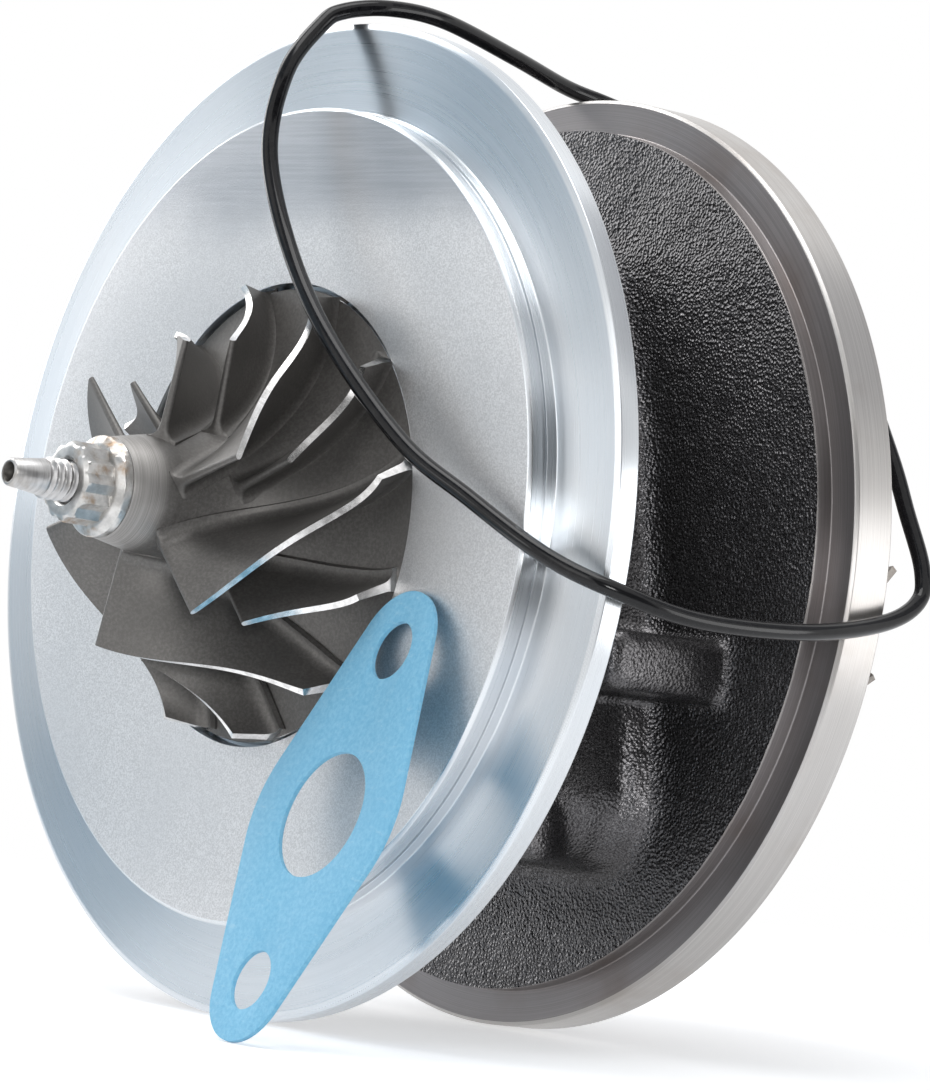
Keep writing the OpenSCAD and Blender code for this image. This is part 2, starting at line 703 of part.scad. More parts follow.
// Split ring that is sprung into the backplate's bore
module compressor_seal_ring() {
    bore = sleeve_r + seal_gap;
    color([0.35, 0.33, 0.30]) split_ring(bore - ring_radial, bore, front_ring_y, ring_w);
}

// Spool that holds the shaft endwise
module thrust_collar() {
    color([0.60, 0.60, 0.62])
        spin([[stub_r + located, collar_front], [collar_r, collar_front], [collar_r, groove_front],
              [collar_neck_r, groove_front], [collar_neck_r, groove_back], [collar_r, groove_back],
              [collar_r, collar_back], [stub_r + located, collar_back]]);
}

// Slotted bronze plate round the collar's neck
module thrust_bearing() {
    neck_gap = 0.1;
    oil_hole_r = 0.8;
    hole_r = collar_neck_r + neck_gap;
    color([0.72, 0.55, 0.30]) difference() {
        ring_y(hole_r, thrust_r, thrust_front, thrust_back);
        translate([-hole_r, thrust_front - past, -thrust_r - past])
            cube([2 * hole_r, thrust_back - thrust_front + 2 * past, thrust_r + past]);
        for (side = [-1, 1])
            bar_y(side * pin_circle_r, 0, pin_r + located, thrust_front - past, thrust_back + past);
        translate([0, (thrust_front + thrust_back) / 2, hole_r + past])
            cylinder(r = oil_hole_r, h = thrust_r);
    }
}

// Pins that keep the thrust bearing from turning
module thrust_pins() {
    color([0.65, 0.65, 0.66])
        for (side = [-1, 1])
            bar_y(side * pin_circle_r, 0, pin_r, thrust_front, thrust_back + pin_sink);
}

// Pressed cup in front of the thrust bearing
module oil_deflector() {
    hole_r = sleeve_r + 0.8;
    color([0.55, 0.55, 0.56])
        spin([[hole_r, joint_y], [thrust_r, joint_y], [thrust_r, thrust_front],
              [thrust_r - deflector_t, thrust_front], [thrust_r - deflector_t, joint_y + deflector_t],
              [hole_r, joint_y + deflector_t]]);
}

// Floating bush with its oil holes
module floating_bush(front) {
    edge = 0.4;
    hole_r = 1.2;
    color([0.75, 0.58, 0.28]) difference() {
        spin([[journal_r + running, front], [bush_r - edge, front], [bush_r, front + edge],
              [bush_r, front + bush_len - edge], [bush_r - edge, front + bush_len],
              [journal_r + running, front + bush_len]]);
        for (a = [0 : 60 : 300])
            rotate([0, a, 0]) translate([0, front + bush_len / 2, 0]) cylinder(r = hole_r, h = bush_r + past);
    }
}

module compressor_bush() { floating_bush(bush_front); }

module turbine_bush() { floating_bush(bush_back - bush_len); }

// Sleeve that keeps the bushes apart
module bearing_spacer() {
    from = bush_front + bush_len + spacer_gap;
    to = bush_back - bush_len - spacer_gap;
    color([0.58, 0.58, 0.60]) difference() {
        ring_y(journal_r + 1, bore_r - running, from, to);
        for (a = [0, 180])
            rotate([0, a, 0]) translate([0, (from + to) / 2, 0]) cylinder(r = 2, h = bore_r + past);
    }
}

// Rings in the bearing bore, outside the bushes
module snap_rings() {
    snap_in = 1.2;
    color([0.50, 0.50, 0.52])
        for (y = [front_snap_y, rear_snap_y])
            split_ring(bore_r - snap_in, bore_r + snap_depth, y, snap_t);
}

// Split ring that is sprung into the housing's seal bore
module turbine_seal_ring() {
    color([0.35, 0.33, 0.30]) split_ring(seal_bore_r - ring_radial, seal_bore_r, turbine_ring_y, ring_w);
}

// Pressed cup between the housing and the turbine wheel
module heat_shield() {
    wall_r = back_disc_r + shield_room;
    back = shield_front + shield_t;
    color([0.50, 0.47, 0.43])
        spin([[shield_hole_r, shield_front], [wall_r - shield_t, shield_front], [wall_r, rear_face],
              [shield_r, rear_face], [shield_r, rear_face + shield_t],
              [wall_r + shield_t, rear_face + shield_t], [wall_r, back], [shield_hole_r, back]]);
}

// Hexagon screws from behind the front flange into the plate
module backplate_screws() {
    seat = screw_seat + washer_t;
    color([0.45, 0.45, 0.46])
        for (a = screw_angles)
            translate([screw_circle_r * cos(a), 0, screw_circle_r * sin(a)]) {
                bar_y(0, 0, screw_r - located, joint_y - screw_grip, seat + past);
                translate([0, seat + head_h, 0]) rotate([90, 0, 0]) cylinder(r = head_r, h = head_h, $fn = 6);
            }
}

// Washers under the screws' heads
module backplate_washers() {
    color([0.55, 0.55, 0.57])
        for (a = screw_angles)
            translate([screw_circle_r * cos(a), 0, screw_circle_r * sin(a)])
                ring_y(screw_r + 0.2, washer_r, screw_seat, screw_seat + washer_t);
}

// Rubber ring in the joint of the plate and the housing
module backplate_seal() {
    color([0.05, 0.05, 0.05]) rotate([-90, 0, 0]) rotate_extrude()
        translate([joint_seal_circle_r, joint_y + joint_seal_r - joint_seal_squeeze])
            circle(r = joint_seal_r - joint_seal_squeeze, $fn = 24);
}

// Pin behind the turbine flange that clocks the turbine housing
module turbine_dowel() {
    color([0.65, 0.65, 0.66])
        bar_y(dowel_circle_r * cos(dowel_angle), dowel_circle_r * sin(dowel_angle), dowel_r,
              rear_face - dowel_in, rear_face + dowel_out);
}

// Loose rubber ring, a closed smooth tube along its route
module cover_seal_ring() {
    n = len(ring_path);
    knots = [for (p = ring_path) around([p[1], p[2]], p[0])];
    function knot(i) = knots[(i + n) % n];
    function curve(i, u) = let (a = knot(i - 1), b = knot(i), c = knot(i + 1), d = knot(i + 2))
        0.5 * (2 * b + (c - a) * u + (2 * a - 5 * b + 4 * c - d) * u * u
               + (3 * b - a - 3 * c + d) * u * u * u);
    line = [for (i = [0 : n - 1]) each [for (s = [0 : ring_steps - 1]) curve(i, s / ring_steps)]];
    count = len(line);
    function ahead(i) = unit(line[(i + 1) % count] - line[(i + count - 1) % count]);
    // The section's first axis points away from a hub inside the loop, so that it never flips
    hub = [30, 20, 35];
    function out(i) = unit((line[i] - hub) - ahead(i) * ((line[i] - hub) * ahead(i)));
    points = [for (i = [0 : count - 1]) each [for (k = [0 : ring_sides - 1])
        let (a = 360 * k / ring_sides)
        line[i] + cover_ring_d / 2 * (cos(a) * out(i) + sin(a) * cross(ahead(i), out(i)))]];
    faces = [for (i = [0 : count - 1]) each [for (k = [0 : ring_sides - 1]) each
        let (here = ring_sides * i, next = ring_sides * ((i + 1) % count), turned = (k + 1) % ring_sides)
        [[here + k, next + turned, here + turned], [here + k, next + k, next + turned]]]];
    color([0.04, 0.04, 0.045]) polyhedron(points, faces);
}

// Loose fibre gasket, leaning on the backplate's land
module drain_gasket() {
    color([0.25, 0.62, 0.82])
        translate([gasket_x, gasket_y, gasket_z]) rotate([0, 0, gasket_yaw]) rotate([-gasket_lean, 0, 0])
            rotate([0, gasket_roll, 0]) rotate([90, -90, 0])
                translate([0, 0, -gasket_t / 2]) difference() {
                    diamond(drain_spacing, drain_mid_r, drain_end_r, gasket_t);
                    translate([0, 0, -past]) {
                        cylinder(d = drain_d, h = gasket_t + 2 * past);
                        for (side = [-1, 1])
                            translate([side * drain_spacing / 2, 0, 0])
                                cylinder(d = gasket_hole_d, h = gasket_t + 2 * past);
                    }
                }
}

compressor_backplate();
bearing_housing();
compressor_wheel();
shaft_nut();
rotor_shaft();
turbine_wheel();
seal_sleeve();
compressor_seal_ring();
thrust_collar();
thrust_bearing();
thrust_pins();
oil_deflector();
compressor_bush();
turbine_bush();
bearing_spacer();
snap_rings();
turbine_seal_ring();
heat_shield();
backplate_screws();
backplate_washers();
backplate_seal();
turbine_dowel();
cover_seal_ring();
drain_gasket();
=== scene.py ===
"""Turbocharger cartridge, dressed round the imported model. Millimetres in the tables, metres in Blender."""
import math

import bmesh
import bpy
import numpy as np
from mathutils import Matrix, Vector, noise

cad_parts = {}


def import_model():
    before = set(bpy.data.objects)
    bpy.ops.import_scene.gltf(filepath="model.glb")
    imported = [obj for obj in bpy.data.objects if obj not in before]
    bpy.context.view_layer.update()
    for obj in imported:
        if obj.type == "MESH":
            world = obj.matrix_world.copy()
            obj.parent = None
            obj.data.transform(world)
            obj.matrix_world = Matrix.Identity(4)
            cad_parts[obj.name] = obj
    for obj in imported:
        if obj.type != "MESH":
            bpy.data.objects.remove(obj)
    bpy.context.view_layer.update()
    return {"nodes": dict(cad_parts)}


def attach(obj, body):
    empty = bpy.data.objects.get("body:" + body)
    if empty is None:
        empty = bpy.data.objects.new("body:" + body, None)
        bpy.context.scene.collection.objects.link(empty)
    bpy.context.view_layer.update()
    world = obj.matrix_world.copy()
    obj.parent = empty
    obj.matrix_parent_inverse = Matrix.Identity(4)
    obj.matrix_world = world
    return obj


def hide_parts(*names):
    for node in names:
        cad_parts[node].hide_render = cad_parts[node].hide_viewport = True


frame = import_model()
MM = 0.001

# Sizes of the part, as in its source
PLATE_R, PLATE_RIM, LAND_R, LAND_H = 75.0, 3.9, 61.4, 4.9
RECESS_R, RECESS_FLOOR = 34.8, -2.0
JOINT_Y, PAD_R = 8.0, 48.0
FLANGE_R, FLANGE_Y, FLANGE_BACK = 72.0, 48.0, 55.4
CAST_R, CAST_FACE = 66.6, 45.1
REGISTER_R, REGISTER_BACK, REAR_FACE = 66.0, 58.0, 56.0
PORT_Y, DRAIN_Z, INLET_Z = 26.55, -46.0, 50.0
DRAIN_HALF, DRAIN_END_R, DRAIN_MID_R, DRAIN_R = 25.6, 9.3, 18.1, 9.6
WHEEL_R, DISC_FRONT, DISC_BACK, INLET_Y, NOSE_Y = 34.1, -4.2, -2.6, -28.0, -34.5
TURBINE_Y, TURBINE_OUT = 62.8, 97.1
GASKET_POSE = (36.95, -14.949, -43.040)
GASKET_TURN = (16.2, -4.8, 3.6)
GASKET_T, GASKET_HOLE_R = 0.7, 4.45


# Meshes
def mesh_object(name, points, faces, materials, face_materials=None, sharp=32):
    """A mesh from points in mm, smooth up to the sharp angle, in degrees."""
    me = bpy.data.meshes.new(name)
    places = [tuple(p) for p in np.asarray(points, float) * MM]
    me.from_pydata(places, [], [tuple(int(i) for i in f) for f in faces])
    for m in materials:
        me.materials.append(m)
    if face_materials is not None:
        me.polygons.foreach_set("material_index", [int(i) for i in face_materials])
    bm = bmesh.new()
    bm.from_mesh(me)
    bmesh.ops.remove_doubles(bm, verts=bm.verts, dist=1e-7)
    bmesh.ops.recalc_face_normals(bm, faces=bm.faces)
    bm.to_mesh(me)
    bm.free()
    finish_mesh(me, sharp)
    ob = bpy.data.objects.new(name, me)
    bpy.context.scene.collection.objects.link(ob)
    return ob


def finish_mesh(me, sharp):
    """Smooth shading, with edges over the sharp angle kept sharp."""
    me.polygons.foreach_set("use_smooth", [True] * len(me.polygons))
    me.set_sharp_from_angle(angle=math.radians(sharp))
    me.update()


def soften(profile, radius, steps=4):
    """Rounds the corners of a closed outline; a corner (r, y, own_radius) may give its own."""
    out = []
    n = len(profile)
    least, share = 0.01, 0.45
    for i, corner in enumerate(profile):
        size = corner[2] if len(corner) > 2 else radius
        p = np.array(corner[:2], float)
        a = np.array(profile[i - 1][:2], float) - p
        b = np.array(profile[(i + 1) % n][:2], float) - p
        la, lb = np.linalg.norm(a), np.linalg.norm(b)
        cut = min(size, share * la, share * lb)
        if cut < least or p[0] < least:
            out.append(tuple(p))
            continue
        s, e = p + a / la * cut, p + b / lb * cut
        for k in range(steps + 1):
            u = k / steps
            out.append(tuple((1 - u) ** 2 * s + 2 * u * (1 - u) * p + u * u * e))
    return out


def lathe_data(profile, segments=256):
    """Points and faces of a closed outline of (r, y) spun about the shaft."""
    n = len(profile)
    axis = 1e-6
    angle = np.arange(segments) * 2 * math.pi / segments
    pts, faces = [], []
    for r, y in profile:
        pts += [(r * math.cos(a), y, r * math.sin(a)) for a in angle]
    for i in range(n):
        j = (i + 1) % n
        if profile[i][0] < axis and profile[j][0] < axis:
            continue
        for k in range(segments):
            m = (k + 1) % segments
            f = [i * segments + k, i * segments + m, j * segments + m, j * segments + k]
            if profile[i][0] < axis:
                f = [i * segments, j * segments + m, j * segments + k]
            elif profile[j][0] < axis:
                f = [i * segments + k, i * segments + m, j * segments]
            faces.append(f)
    used = sorted({v for f in faces for v in f})
    place = {v: i for i, v in enumerate(used)}
    return [pts[v] for v in used], [[place[v] for v in f] for f in faces]


def join_data(*parts):
    """Joins (points, faces, material index per face) parts into one."""
    pts, faces, mats = [], [], []
    for p, f, m in parts:
        base = len(pts)
        pts += [tuple(q) for q in p]
        faces += [[v + base for v in g] for g in f]
        mats += list(m) if hasattr(m, "__len__") else [m] * len(f)
    return pts, faces, mats


def dress(ob, body, slot, *nodes):
    """Puts a piece on its body and hides the nodes that it stands for; its slot is not used."""
    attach(ob, body)
    if nodes:
        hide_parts(*nodes)
    return ob


# Materials
class Paint:
    """A node material built from short calls; sockets and numbers are passed alike."""

    def __init__(self, name, metallic, roughness, **sockets):
        self.material = bpy.data.materials.new(name)
        self.material.use_nodes = True
        self.tree = self.material.node_tree
        self.shader = self.tree.nodes["Principled BSDF"]
        self.shader.inputs["Metallic"].default_value = metallic
        self.shader.inputs["Roughness"].default_value = roughness
        for key, value in sockets.items():
            self.shader.inputs[key.replace("_", " ")].default_value = value
        self.place = self.add("ShaderNodeTexCoord").outputs["Object"]

    def add(self, kind, *inputs, **settings):
        node = self.tree.nodes.new(kind)
        for key, value in settings.items():
            setattr(node, key, value)
        for i, value in enumerate(inputs):
            self.feed(node.inputs[i], value)
        return node

    def feed(self, socket, value):
        if value is None:
            return
        if hasattr(value, "links"):
            self.tree.links.new(value, socket)
        else:
            socket.default_value = value

    def math(self, operation, a, b=None, c=None):
        return self.add("ShaderNodeMath", a, b, c, operation=operation).outputs[0]

    def polar(self):
        """Distance from the shaft and place along it, in mm, and the angle about it in turns."""
        x, y, z = self.add("ShaderNodeSeparateXYZ", self.place).outputs
        square = self.math("ADD", self.math("MULTIPLY", x, x), self.math("MULTIPLY", z, z))
        r = self.math("MULTIPLY", self.math("SQRT", square), 1000)
        turn = self.math("DIVIDE", self.math("ARCTAN2", z, x), 2 * math.pi)
        return r, self.math("MULTIPLY", y, 1000), turn

    def vector(self, x, y, z):
        return self.add("ShaderNodeCombineXYZ", x, y, z).outputs[0]

    def scaled(self, sx, sy, sz):
        return self.add("ShaderNodeVectorMath", self.place, (sx, sy, sz), operation="MULTIPLY").outputs[0]

    def noise(self, scale, detail=3.0, rough=0.5, at=None, distortion=0.0):
        node = self.add("ShaderNodeTexNoise")
        self.feed(node.inputs["Vector"], self.place if at is None else at)
        settings = {"Scale": scale, "Detail": detail, "Roughness": rough, "Distortion": distortion}
        for key, value in settings.items():
            node.inputs[key].default_value = value
        return node.outputs["Fac"]

    def pebbles(self, scale, smooth):
        node = self.add("ShaderNodeTexVoronoi", feature="SMOOTH_F1")
        self.feed(node.inputs["Vector"], self.place)
        node.inputs["Scale"].default_value = scale
        node.inputs["Smoothness"].default_value = smooth
        return node.outputs["Distance"]

    def span(self, value, low, high, to_low=0.0, to_high=1.0):
        """Maps value from low..high to to_low..to_high, held at the ends, smoothly."""
        node = self.add("ShaderNodeMapRange", value, low, high, to_low, to_high)
        node.interpolation_type = "SMOOTHSTEP"
        return node.outputs[0]

    def blend(self, factor, a, b):
        node = self.tree.nodes.new("ShaderNodeMix")
        node.data_type = "RGBA"
        self.feed(node.inputs[0], factor)
        for socket, value in ((node.inputs[6], a), (node.inputs[7], b)):
            self.feed(socket, value if hasattr(value, "links") else (*value, 1.0))
        return node.outputs[2]

    def colour(self, value):
        self.feed(self.shader.inputs["Base Color"], value if hasattr(value, "links") else (*value, 1.0))

    def roughness(self, value):
        self.feed(self.shader.inputs["Roughness"], value)

    def bump(self, *layers):
        """Each layer is (height, depth in mm)."""
        normal = None
        for height, depth in layers:
            node = self.add("ShaderNodeBump")
            node.inputs["Strength"].default_value = 1.0
            node.inputs["Distance"].default_value = depth * MM
            self.feed(node.inputs["Height"], height)
            self.feed(node.inputs["Normal"], normal)
            normal = node.outputs[0]
        self.feed(self.shader.inputs["Normal"], normal)

    def feed_lines(self, per_mm, per_turn, detail, rough):
        """Noise drawn out round the shaft, as a turning tool leaves it."""
        r, y, turn = self.polar()
        factors = ((r, per_mm), (y, per_mm), (turn, per_turn))
        place = self.vector(*(self.math("MULTIPLY", value, factor) for value, factor in factors))
        return self.noise(1.0, detail, rough, at=place)

    def radial_tangent(self):
        node = self.add("ShaderNodeTangent", direction_type="RADIAL", axis="Y")
        self.feed(self.shader.inputs["Tangent"], node.outputs[0])


def plate_paint():
    """Turned aluminium with fine feed lines."""
    p = Paint("plate_turned_aluminium", 1.0, 0.25, Anisotropic=0.9, Anisotropic_Rotation=0.25)
    cloud = p.noise(38, 3.0, 0.55)
    lines = p.feed_lines(5.0, 3.0, 4.0, 0.65)
    tone = p.blend(p.span(lines, 0.3, 0.7), (0.65, 0.675, 0.70), (0.71, 0.735, 0.76))
    p.colour(p.blend(p.span(cloud, 0.35, 0.7, 0.0, 0.35), tone, (0.60, 0.66, 0.72)))
    p.roughness(p.math("MULTIPLY_ADD", lines, 0.06, 0.25))
    p.bump((lines, 0.003))
    p.radial_tangent()
    return p.material


def land_paint():
    """Finely blasted face of the land, milled smoother near its top, where its darker colour is painted
    shade.
    """
    p = Paint("land_blasted_aluminium", 1.0, 0.46)
    grain = p.noise(4800, 2.0, 0.6)
    cloud = p.noise(38, 3.0, 0.55)
    strokes = p.noise(1.0, 3.0, 0.6, at=p.scaled(60, 60, 2600))
    height = p.math("MULTIPLY", p.add("ShaderNodeSeparateXYZ", p.place).outputs[2], 1000)
    # The milled patch near the top has real strokes and lower roughness; its darker tone is painted shade.
    milled = p.span(p.math("MULTIPLY_ADD", cloud, 14.0, height), 46.0, 58.0)
    tone = p.blend(p.span(grain, 0.36, 0.66), (0.56, 0.56, 0.565), (0.74, 0.74, 0.745))
    tone = p.blend(p.span(cloud, 0.4, 0.75, 0.0, 0.5), tone, (0.61, 0.615, 0.625))
    dark = p.blend(p.span(strokes, 0.3, 0.7), (0.43, 0.44, 0.46), (0.49, 0.50, 0.52))
    p.colour(p.blend(milled, tone, dark))
    p.roughness(p.math("MULTIPLY_ADD", milled, -0.12, 0.46))
    p.bump((grain, 0.03))
    return p.material


def cast_iron_paint():
    """Raw black casting with a pebbled skin."""
    p = Paint("raw_cast_iron", 0.85, 0.4)
    on_flange = p.span(p.polar()[1], CAST_FACE - 2.1, CAST_FACE - 0.1, 0.3, 1.0)
    pebble = p.math("MULTIPLY", p.pebbles(2100, 0.5), on_flange)
    fine = p.noise(3600, 3.0, 0.6)
    broad = p.noise(60, 4.0, 0.6)
    tone = p.blend(p.span(fine, 0.35, 0.7), (0.052, 0.05, 0.052), (0.175, 0.171, 0.176))
    p.colour(p.blend(p.span(broad, 0.4, 0.75, 0.0, 0.5), tone, (0.08, 0.077, 0.078)))
    p.roughness(p.math("MULTIPLY_ADD", fine, 0.2, 0.17))
    p.bump((broad, 0.1), (pebble, 0.29), (fine, 0.028))
    return p.material


def machined_iron_paint(name, dark, light, stained):
    """Turned iron with fine feed lines and a warm tint."""
    p = Paint(name, 1.0, 0.35, Anisotropic=0.7, Anisotropic_Rotation=0.25)
    lines = p.feed_lines(7.0, 4.0, 5.0, 0.7)
    stain = p.noise(45, 4.0, 0.6)
    tone = p.blend(p.span(lines, 0.3, 0.7), dark, light)
    p.colour(p.blend(p.span(stain, 0.5, 0.75, 0.0, 0.6), tone, stained))
    p.roughness(p.math("MULTIPLY_ADD", lines, 0.2, 0.27))
    p.bump((lines, 0.012))
    p.radial_tangent()
    return p.material


def wheel_paint():
    """Cast wheel with a fine dull grain; its nose is turned."""
    p = Paint("wheel_casting", 0.6, 0.5)
    grain = p.noise(2200, 3.0, 0.65)
    cloud = p.noise(90, 3.0, 0.5)
    lines = p.feed_lines(9.0, 2.0, 2.0, 0.5)
    nose = p.span(p.polar()[1], INLET_Y - 0.5, INLET_Y - 2.5)
    cast = p.blend(p.span(grain, 0.35, 0.7), (0.128, 0.122, 0.116), (0.178, 0.171, 0.163))
    cast = p.blend(p.span(cloud, 0.4, 0.7, 0.0, 0.4), cast, (0.112, 0.108, 0.103))
    turned = p.blend(p.span(lines, 0.3, 0.7), (0.22, 0.211, 0.203), (0.335, 0.324, 0.312))
    p.colour(p.blend(nose, cast, turned))
    p.roughness(p.math("MULTIPLY_ADD", grain, 0.18, 0.38))
    cast_grain = p.math("MULTIPLY", grain, p.math("SUBTRACT", 1.0, nose))
    p.bump((cast_grain, 0.02), (p.math("MULTIPLY", lines, nose), 0.006))
    return p.material


def edge_paint():
    """Bright turned edges of the blades."""
    p = Paint("blade_edge_turned", 1.0, 0.22)
    streak = p.noise(700, 3.0, 0.6)
    p.colour(p.blend(p.span(streak, 0.3, 0.7), (0.62, 0.61, 0.60), (0.90, 0.89, 0.88)))
    p.roughness(p.math("MULTIPLY_ADD", streak, 0.2, 0.12))
    p.bump((streak, 0.006))
    return p.material


def steel_paint(name, dark, light, roughness, grain, stain=None, stain_share=0.5, bump=0.01):
    """Steel or bronze with a directional grain, and with stains over a share of it."""
    p = Paint(name, 1.0, roughness)
    line = p.noise(1.0, 4.0, 0.6, at=p.scaled(*grain))
    cloud = p.noise(260, 4.0, 0.6)
    tone = p.blend(p.span(line, 0.3, 0.7), dark, light)
    if stain is not None:
        tone = p.blend(p.span(cloud, 0.5, 0.72, 0.0, stain_share), tone, stain)
    p.colour(tone)
    p.roughness(p.math("MULTIPLY_ADD", line, 0.2, roughness - 0.1))
    p.bump((line, bump))
    return p.material


def rubber_paint():
    """Black rubber with a faint bloom."""
    p = Paint("black_rubber_ring", 0.0, 0.2, IOR=1.36)
    bloom = p.noise(900, 3.0, 0.6)
    patch = p.noise(70, 2.0, 0.5)
    tone = p.blend(p.span(bloom, 0.35, 0.7), (0.005, 0.005, 0.006), (0.011, 0.011, 0.012))
    p.colour(p.blend(p.span(patch, 0.45, 0.75, 0.0, 0.6), tone, (0.014, 0.014, 0.015)))
    p.roughness(p.math("MULTIPLY_ADD", patch, 0.1, 0.05))
    p.bump((bloom, 0.002))
    return p.material


def fibre_paint():
    """Blue pressed fibre with flecks and paler strands."""
    p = Paint("blue_gasket_fibre", 0.0, 0.75, Sheen_Weight=0.1)
    fleck = p.noise(1500, 4.0, 0.65)
    strand = p.noise(1.0, 3.0, 0.6, at=p.scaled(500, 500, 1600), distortion=0.6)
    cloud = p.noise(55, 3.0, 0.5)
    tone = p.blend(p.span(fleck, 0.3, 0.72), (0.15, 0.435, 0.655), (0.235, 0.535, 0.735))
    tone = p.blend(p.span(strand, 0.58, 0.75, 0.0, 0.35), tone, (0.39, 0.63, 0.77))
    p.colour(p.blend(p.span(cloud, 0.45, 0.7, 0.0, 0.3), tone, (0.15, 0.43, 0.645)))
    p.roughness(p.math("MULTIPLY_ADD", fleck, 0.2, 0.65))
    p.bump((fleck, 0.05), (strand, 0.03))
    return p.material


PLATE = plate_paint()
LAND = land_paint()
CAST = cast_iron_paint()
IRON = machined_iron_paint("turned_iron", (0.43, 0.415, 0.405), (0.59, 0.575, 0.56), (0.40, 0.36, 0.33))
# A darker copy of the turned iron for the flange's flat faces: its darker tone is painted shade.
IRON_SHADED_FACE = machined_iron_paint("turned_iron_painted_shade", (0.225, 0.21, 0.21), (0.32, 0.30, 0.298),
                                (0.21, 0.175, 0.16))
WHEEL = wheel_paint()
EDGE = edge_paint()
RUBBER = rubber_paint()
FIBRE = fibre_paint()
EVEN, ALONG_SHAFT = (500, 500, 500), (300, 2500, 300)
SHAFT = steel_paint("ground_shaft_steel", (0.39, 0.385, 0.385), (0.54, 0.535, 0.535), 0.37,
                    (300, 3000, 300), (0.28, 0.25, 0.21))
NUT = steel_paint("plated_nut_steel", (0.42, 0.415, 0.405), (0.62, 0.61, 0.595), 0.33,
                  EVEN, (0.27, 0.17, 0.09), 0.85)
TURBINE = steel_paint("turbine_cast_alloy", (0.22, 0.205, 0.19), (0.34, 0.315, 0.29), 0.46,
                      (900, 900, 900), (0.25, 0.20, 0.17), 0.6, 0.02)
SHEET = steel_paint("pressed_sheet_steel", (0.36, 0.35, 0.34), (0.52, 0.51, 0.49), 0.36,
                    (250, 250, 250), (0.33, 0.27, 0.22))
SCREW = steel_paint("plated_screw_steel", (0.38, 0.38, 0.38), (0.55, 0.55, 0.54), 0.36,
                    EVEN, (0.36, 0.33, 0.28))
RING = steel_paint("phosphated_ring_steel", (0.10, 0.095, 0.09), (0.17, 0.16, 0.15), 0.45, EVEN)
BRONZE = steel_paint("turned_bronze", (0.55, 0.36, 0.14), (0.72, 0.50, 0.22), 0.3,
                     ALONG_SHAFT, (0.42, 0.27, 0.12), 0.4)
PIN = steel_paint("ground_pin_steel", (0.46, 0.46, 0.47), (0.64, 0.64, 0.65), 0.28, ALONG_SHAFT)


# Backplate
def backplate():
    """Turned plate; the flat of its land is blasted."""
    groove_y, groove_w, groove_in, bore = -0.45 * LAND_H, 0.9, 0.5, 8.65
    groove_front, groove_back = groove_y - groove_w / 2, groove_y + groove_w / 2
    inner_r, inner_y = 18.0, 5.5
    profile = [(bore, RECESS_FLOOR), (RECESS_R, RECESS_FLOOR), (RECESS_R, -LAND_H, 0.12),
               (LAND_R - 0.5, -LAND_H, 0.15), (LAND_R, 0.5 - LAND_H, 0.15),
               (LAND_R, groove_front, 0.12), (LAND_R - groove_in, groove_front, 0.12),
               (LAND_R - groove_in, groove_back, 0.12), (LAND_R, groove_back, 0.12),
               (LAND_R, 0, 0.35), (PLATE_R - 0.9, 0, 0.25), (PLATE_R, 0.4, 0.15),
               (PLATE_R, PLATE_RIM - 0.4, 0.15), (PLATE_R - 0.4, PLATE_RIM, 0.15),
               (58.4, PLATE_RIM, 0.2), (57.4, 0, 0.6), (52.0, 0, 0.6), (51.0, PLATE_RIM, 0.2),
               (PAD_R, PLATE_RIM, 0.4), (PAD_R, JOINT_Y, 0.3),
               (inner_r, JOINT_Y, 0.2), (inner_r, inner_y, 0.2), (bore, inner_y, 0.1)]
    pts, faces = lathe_data(soften(profile, 0.1), 360)
    reach = [[math.hypot(pts[v][0], pts[v][2]) for v in f] for f in faces]
    near, inset, outset = 0.02, 0.05, 0.4
    flat = [max(pts[v][1] for v in f) < near - LAND_H for f in faces]
    blasted = [1 if level and min(r) > RECESS_R + inset and max(r) < LAND_R - outset else 0
               for level, r in zip(flat, reach)]
    ob = mesh_object("backplate_turned", pts, faces, [PLATE, LAND], blasted, sharp=15)
    return dress(ob, "housing", "plate_aluminium", "compressor_backplate")


# Housing
def hull_mesh(points):
    """Convex hull of points in mm, as a part for join_data."""
    bm = bmesh.new()
    for p in points:
        bm.verts.new(p)
    bmesh.ops.convex_hull(bm, input=bm.verts)
    loose = [v for v in bm.verts if not v.link_faces]
    bmesh.ops.delete(bm, geom=loose, context="VERTS")
    bm.verts.index_update()
    data = [tuple(v.co) for v in bm.verts], [[v.index for v in f.verts] for f in bm.faces], 0
    bm.free()
    return data


def circle(r, n):
    return [(r * math.cos(2 * math.pi * k / n), r * math.sin(2 * math.pi * k / n)) for k in range(n)]


def circle_x(y, z, r, x, n=32):
    return [(x, y + a, z + b) for a, b in circle(r, n)]


def circle_y(x, z, r, y, n=48):
    return [(x + a, y, z + b) for a, b in circle(r, n)]


def circle_z(x, y, r, z, n=48):
    return [(x + a, y + b, z) for a, b in circle(r, n)]


def corners(table, grow, y):
    """Circles at the (x, z, r) corners of a section and at their mirror images."""
    return [p for x, z, r in table for side in (-1, 1) for p in circle_y(side * x, z, r + grow, y)]


def applied(ob):
    """Replaces an object's mesh by what its modifiers make of it."""
    dg = bpy.context.evaluated_depsgraph_get()
    me = bpy.data.meshes.new_from_object(ob.evaluated_get(dg))
    old = ob.data
    ob.modifiers.clear()
    ob.data = me
    bpy.data.meshes.remove(old)
    return ob


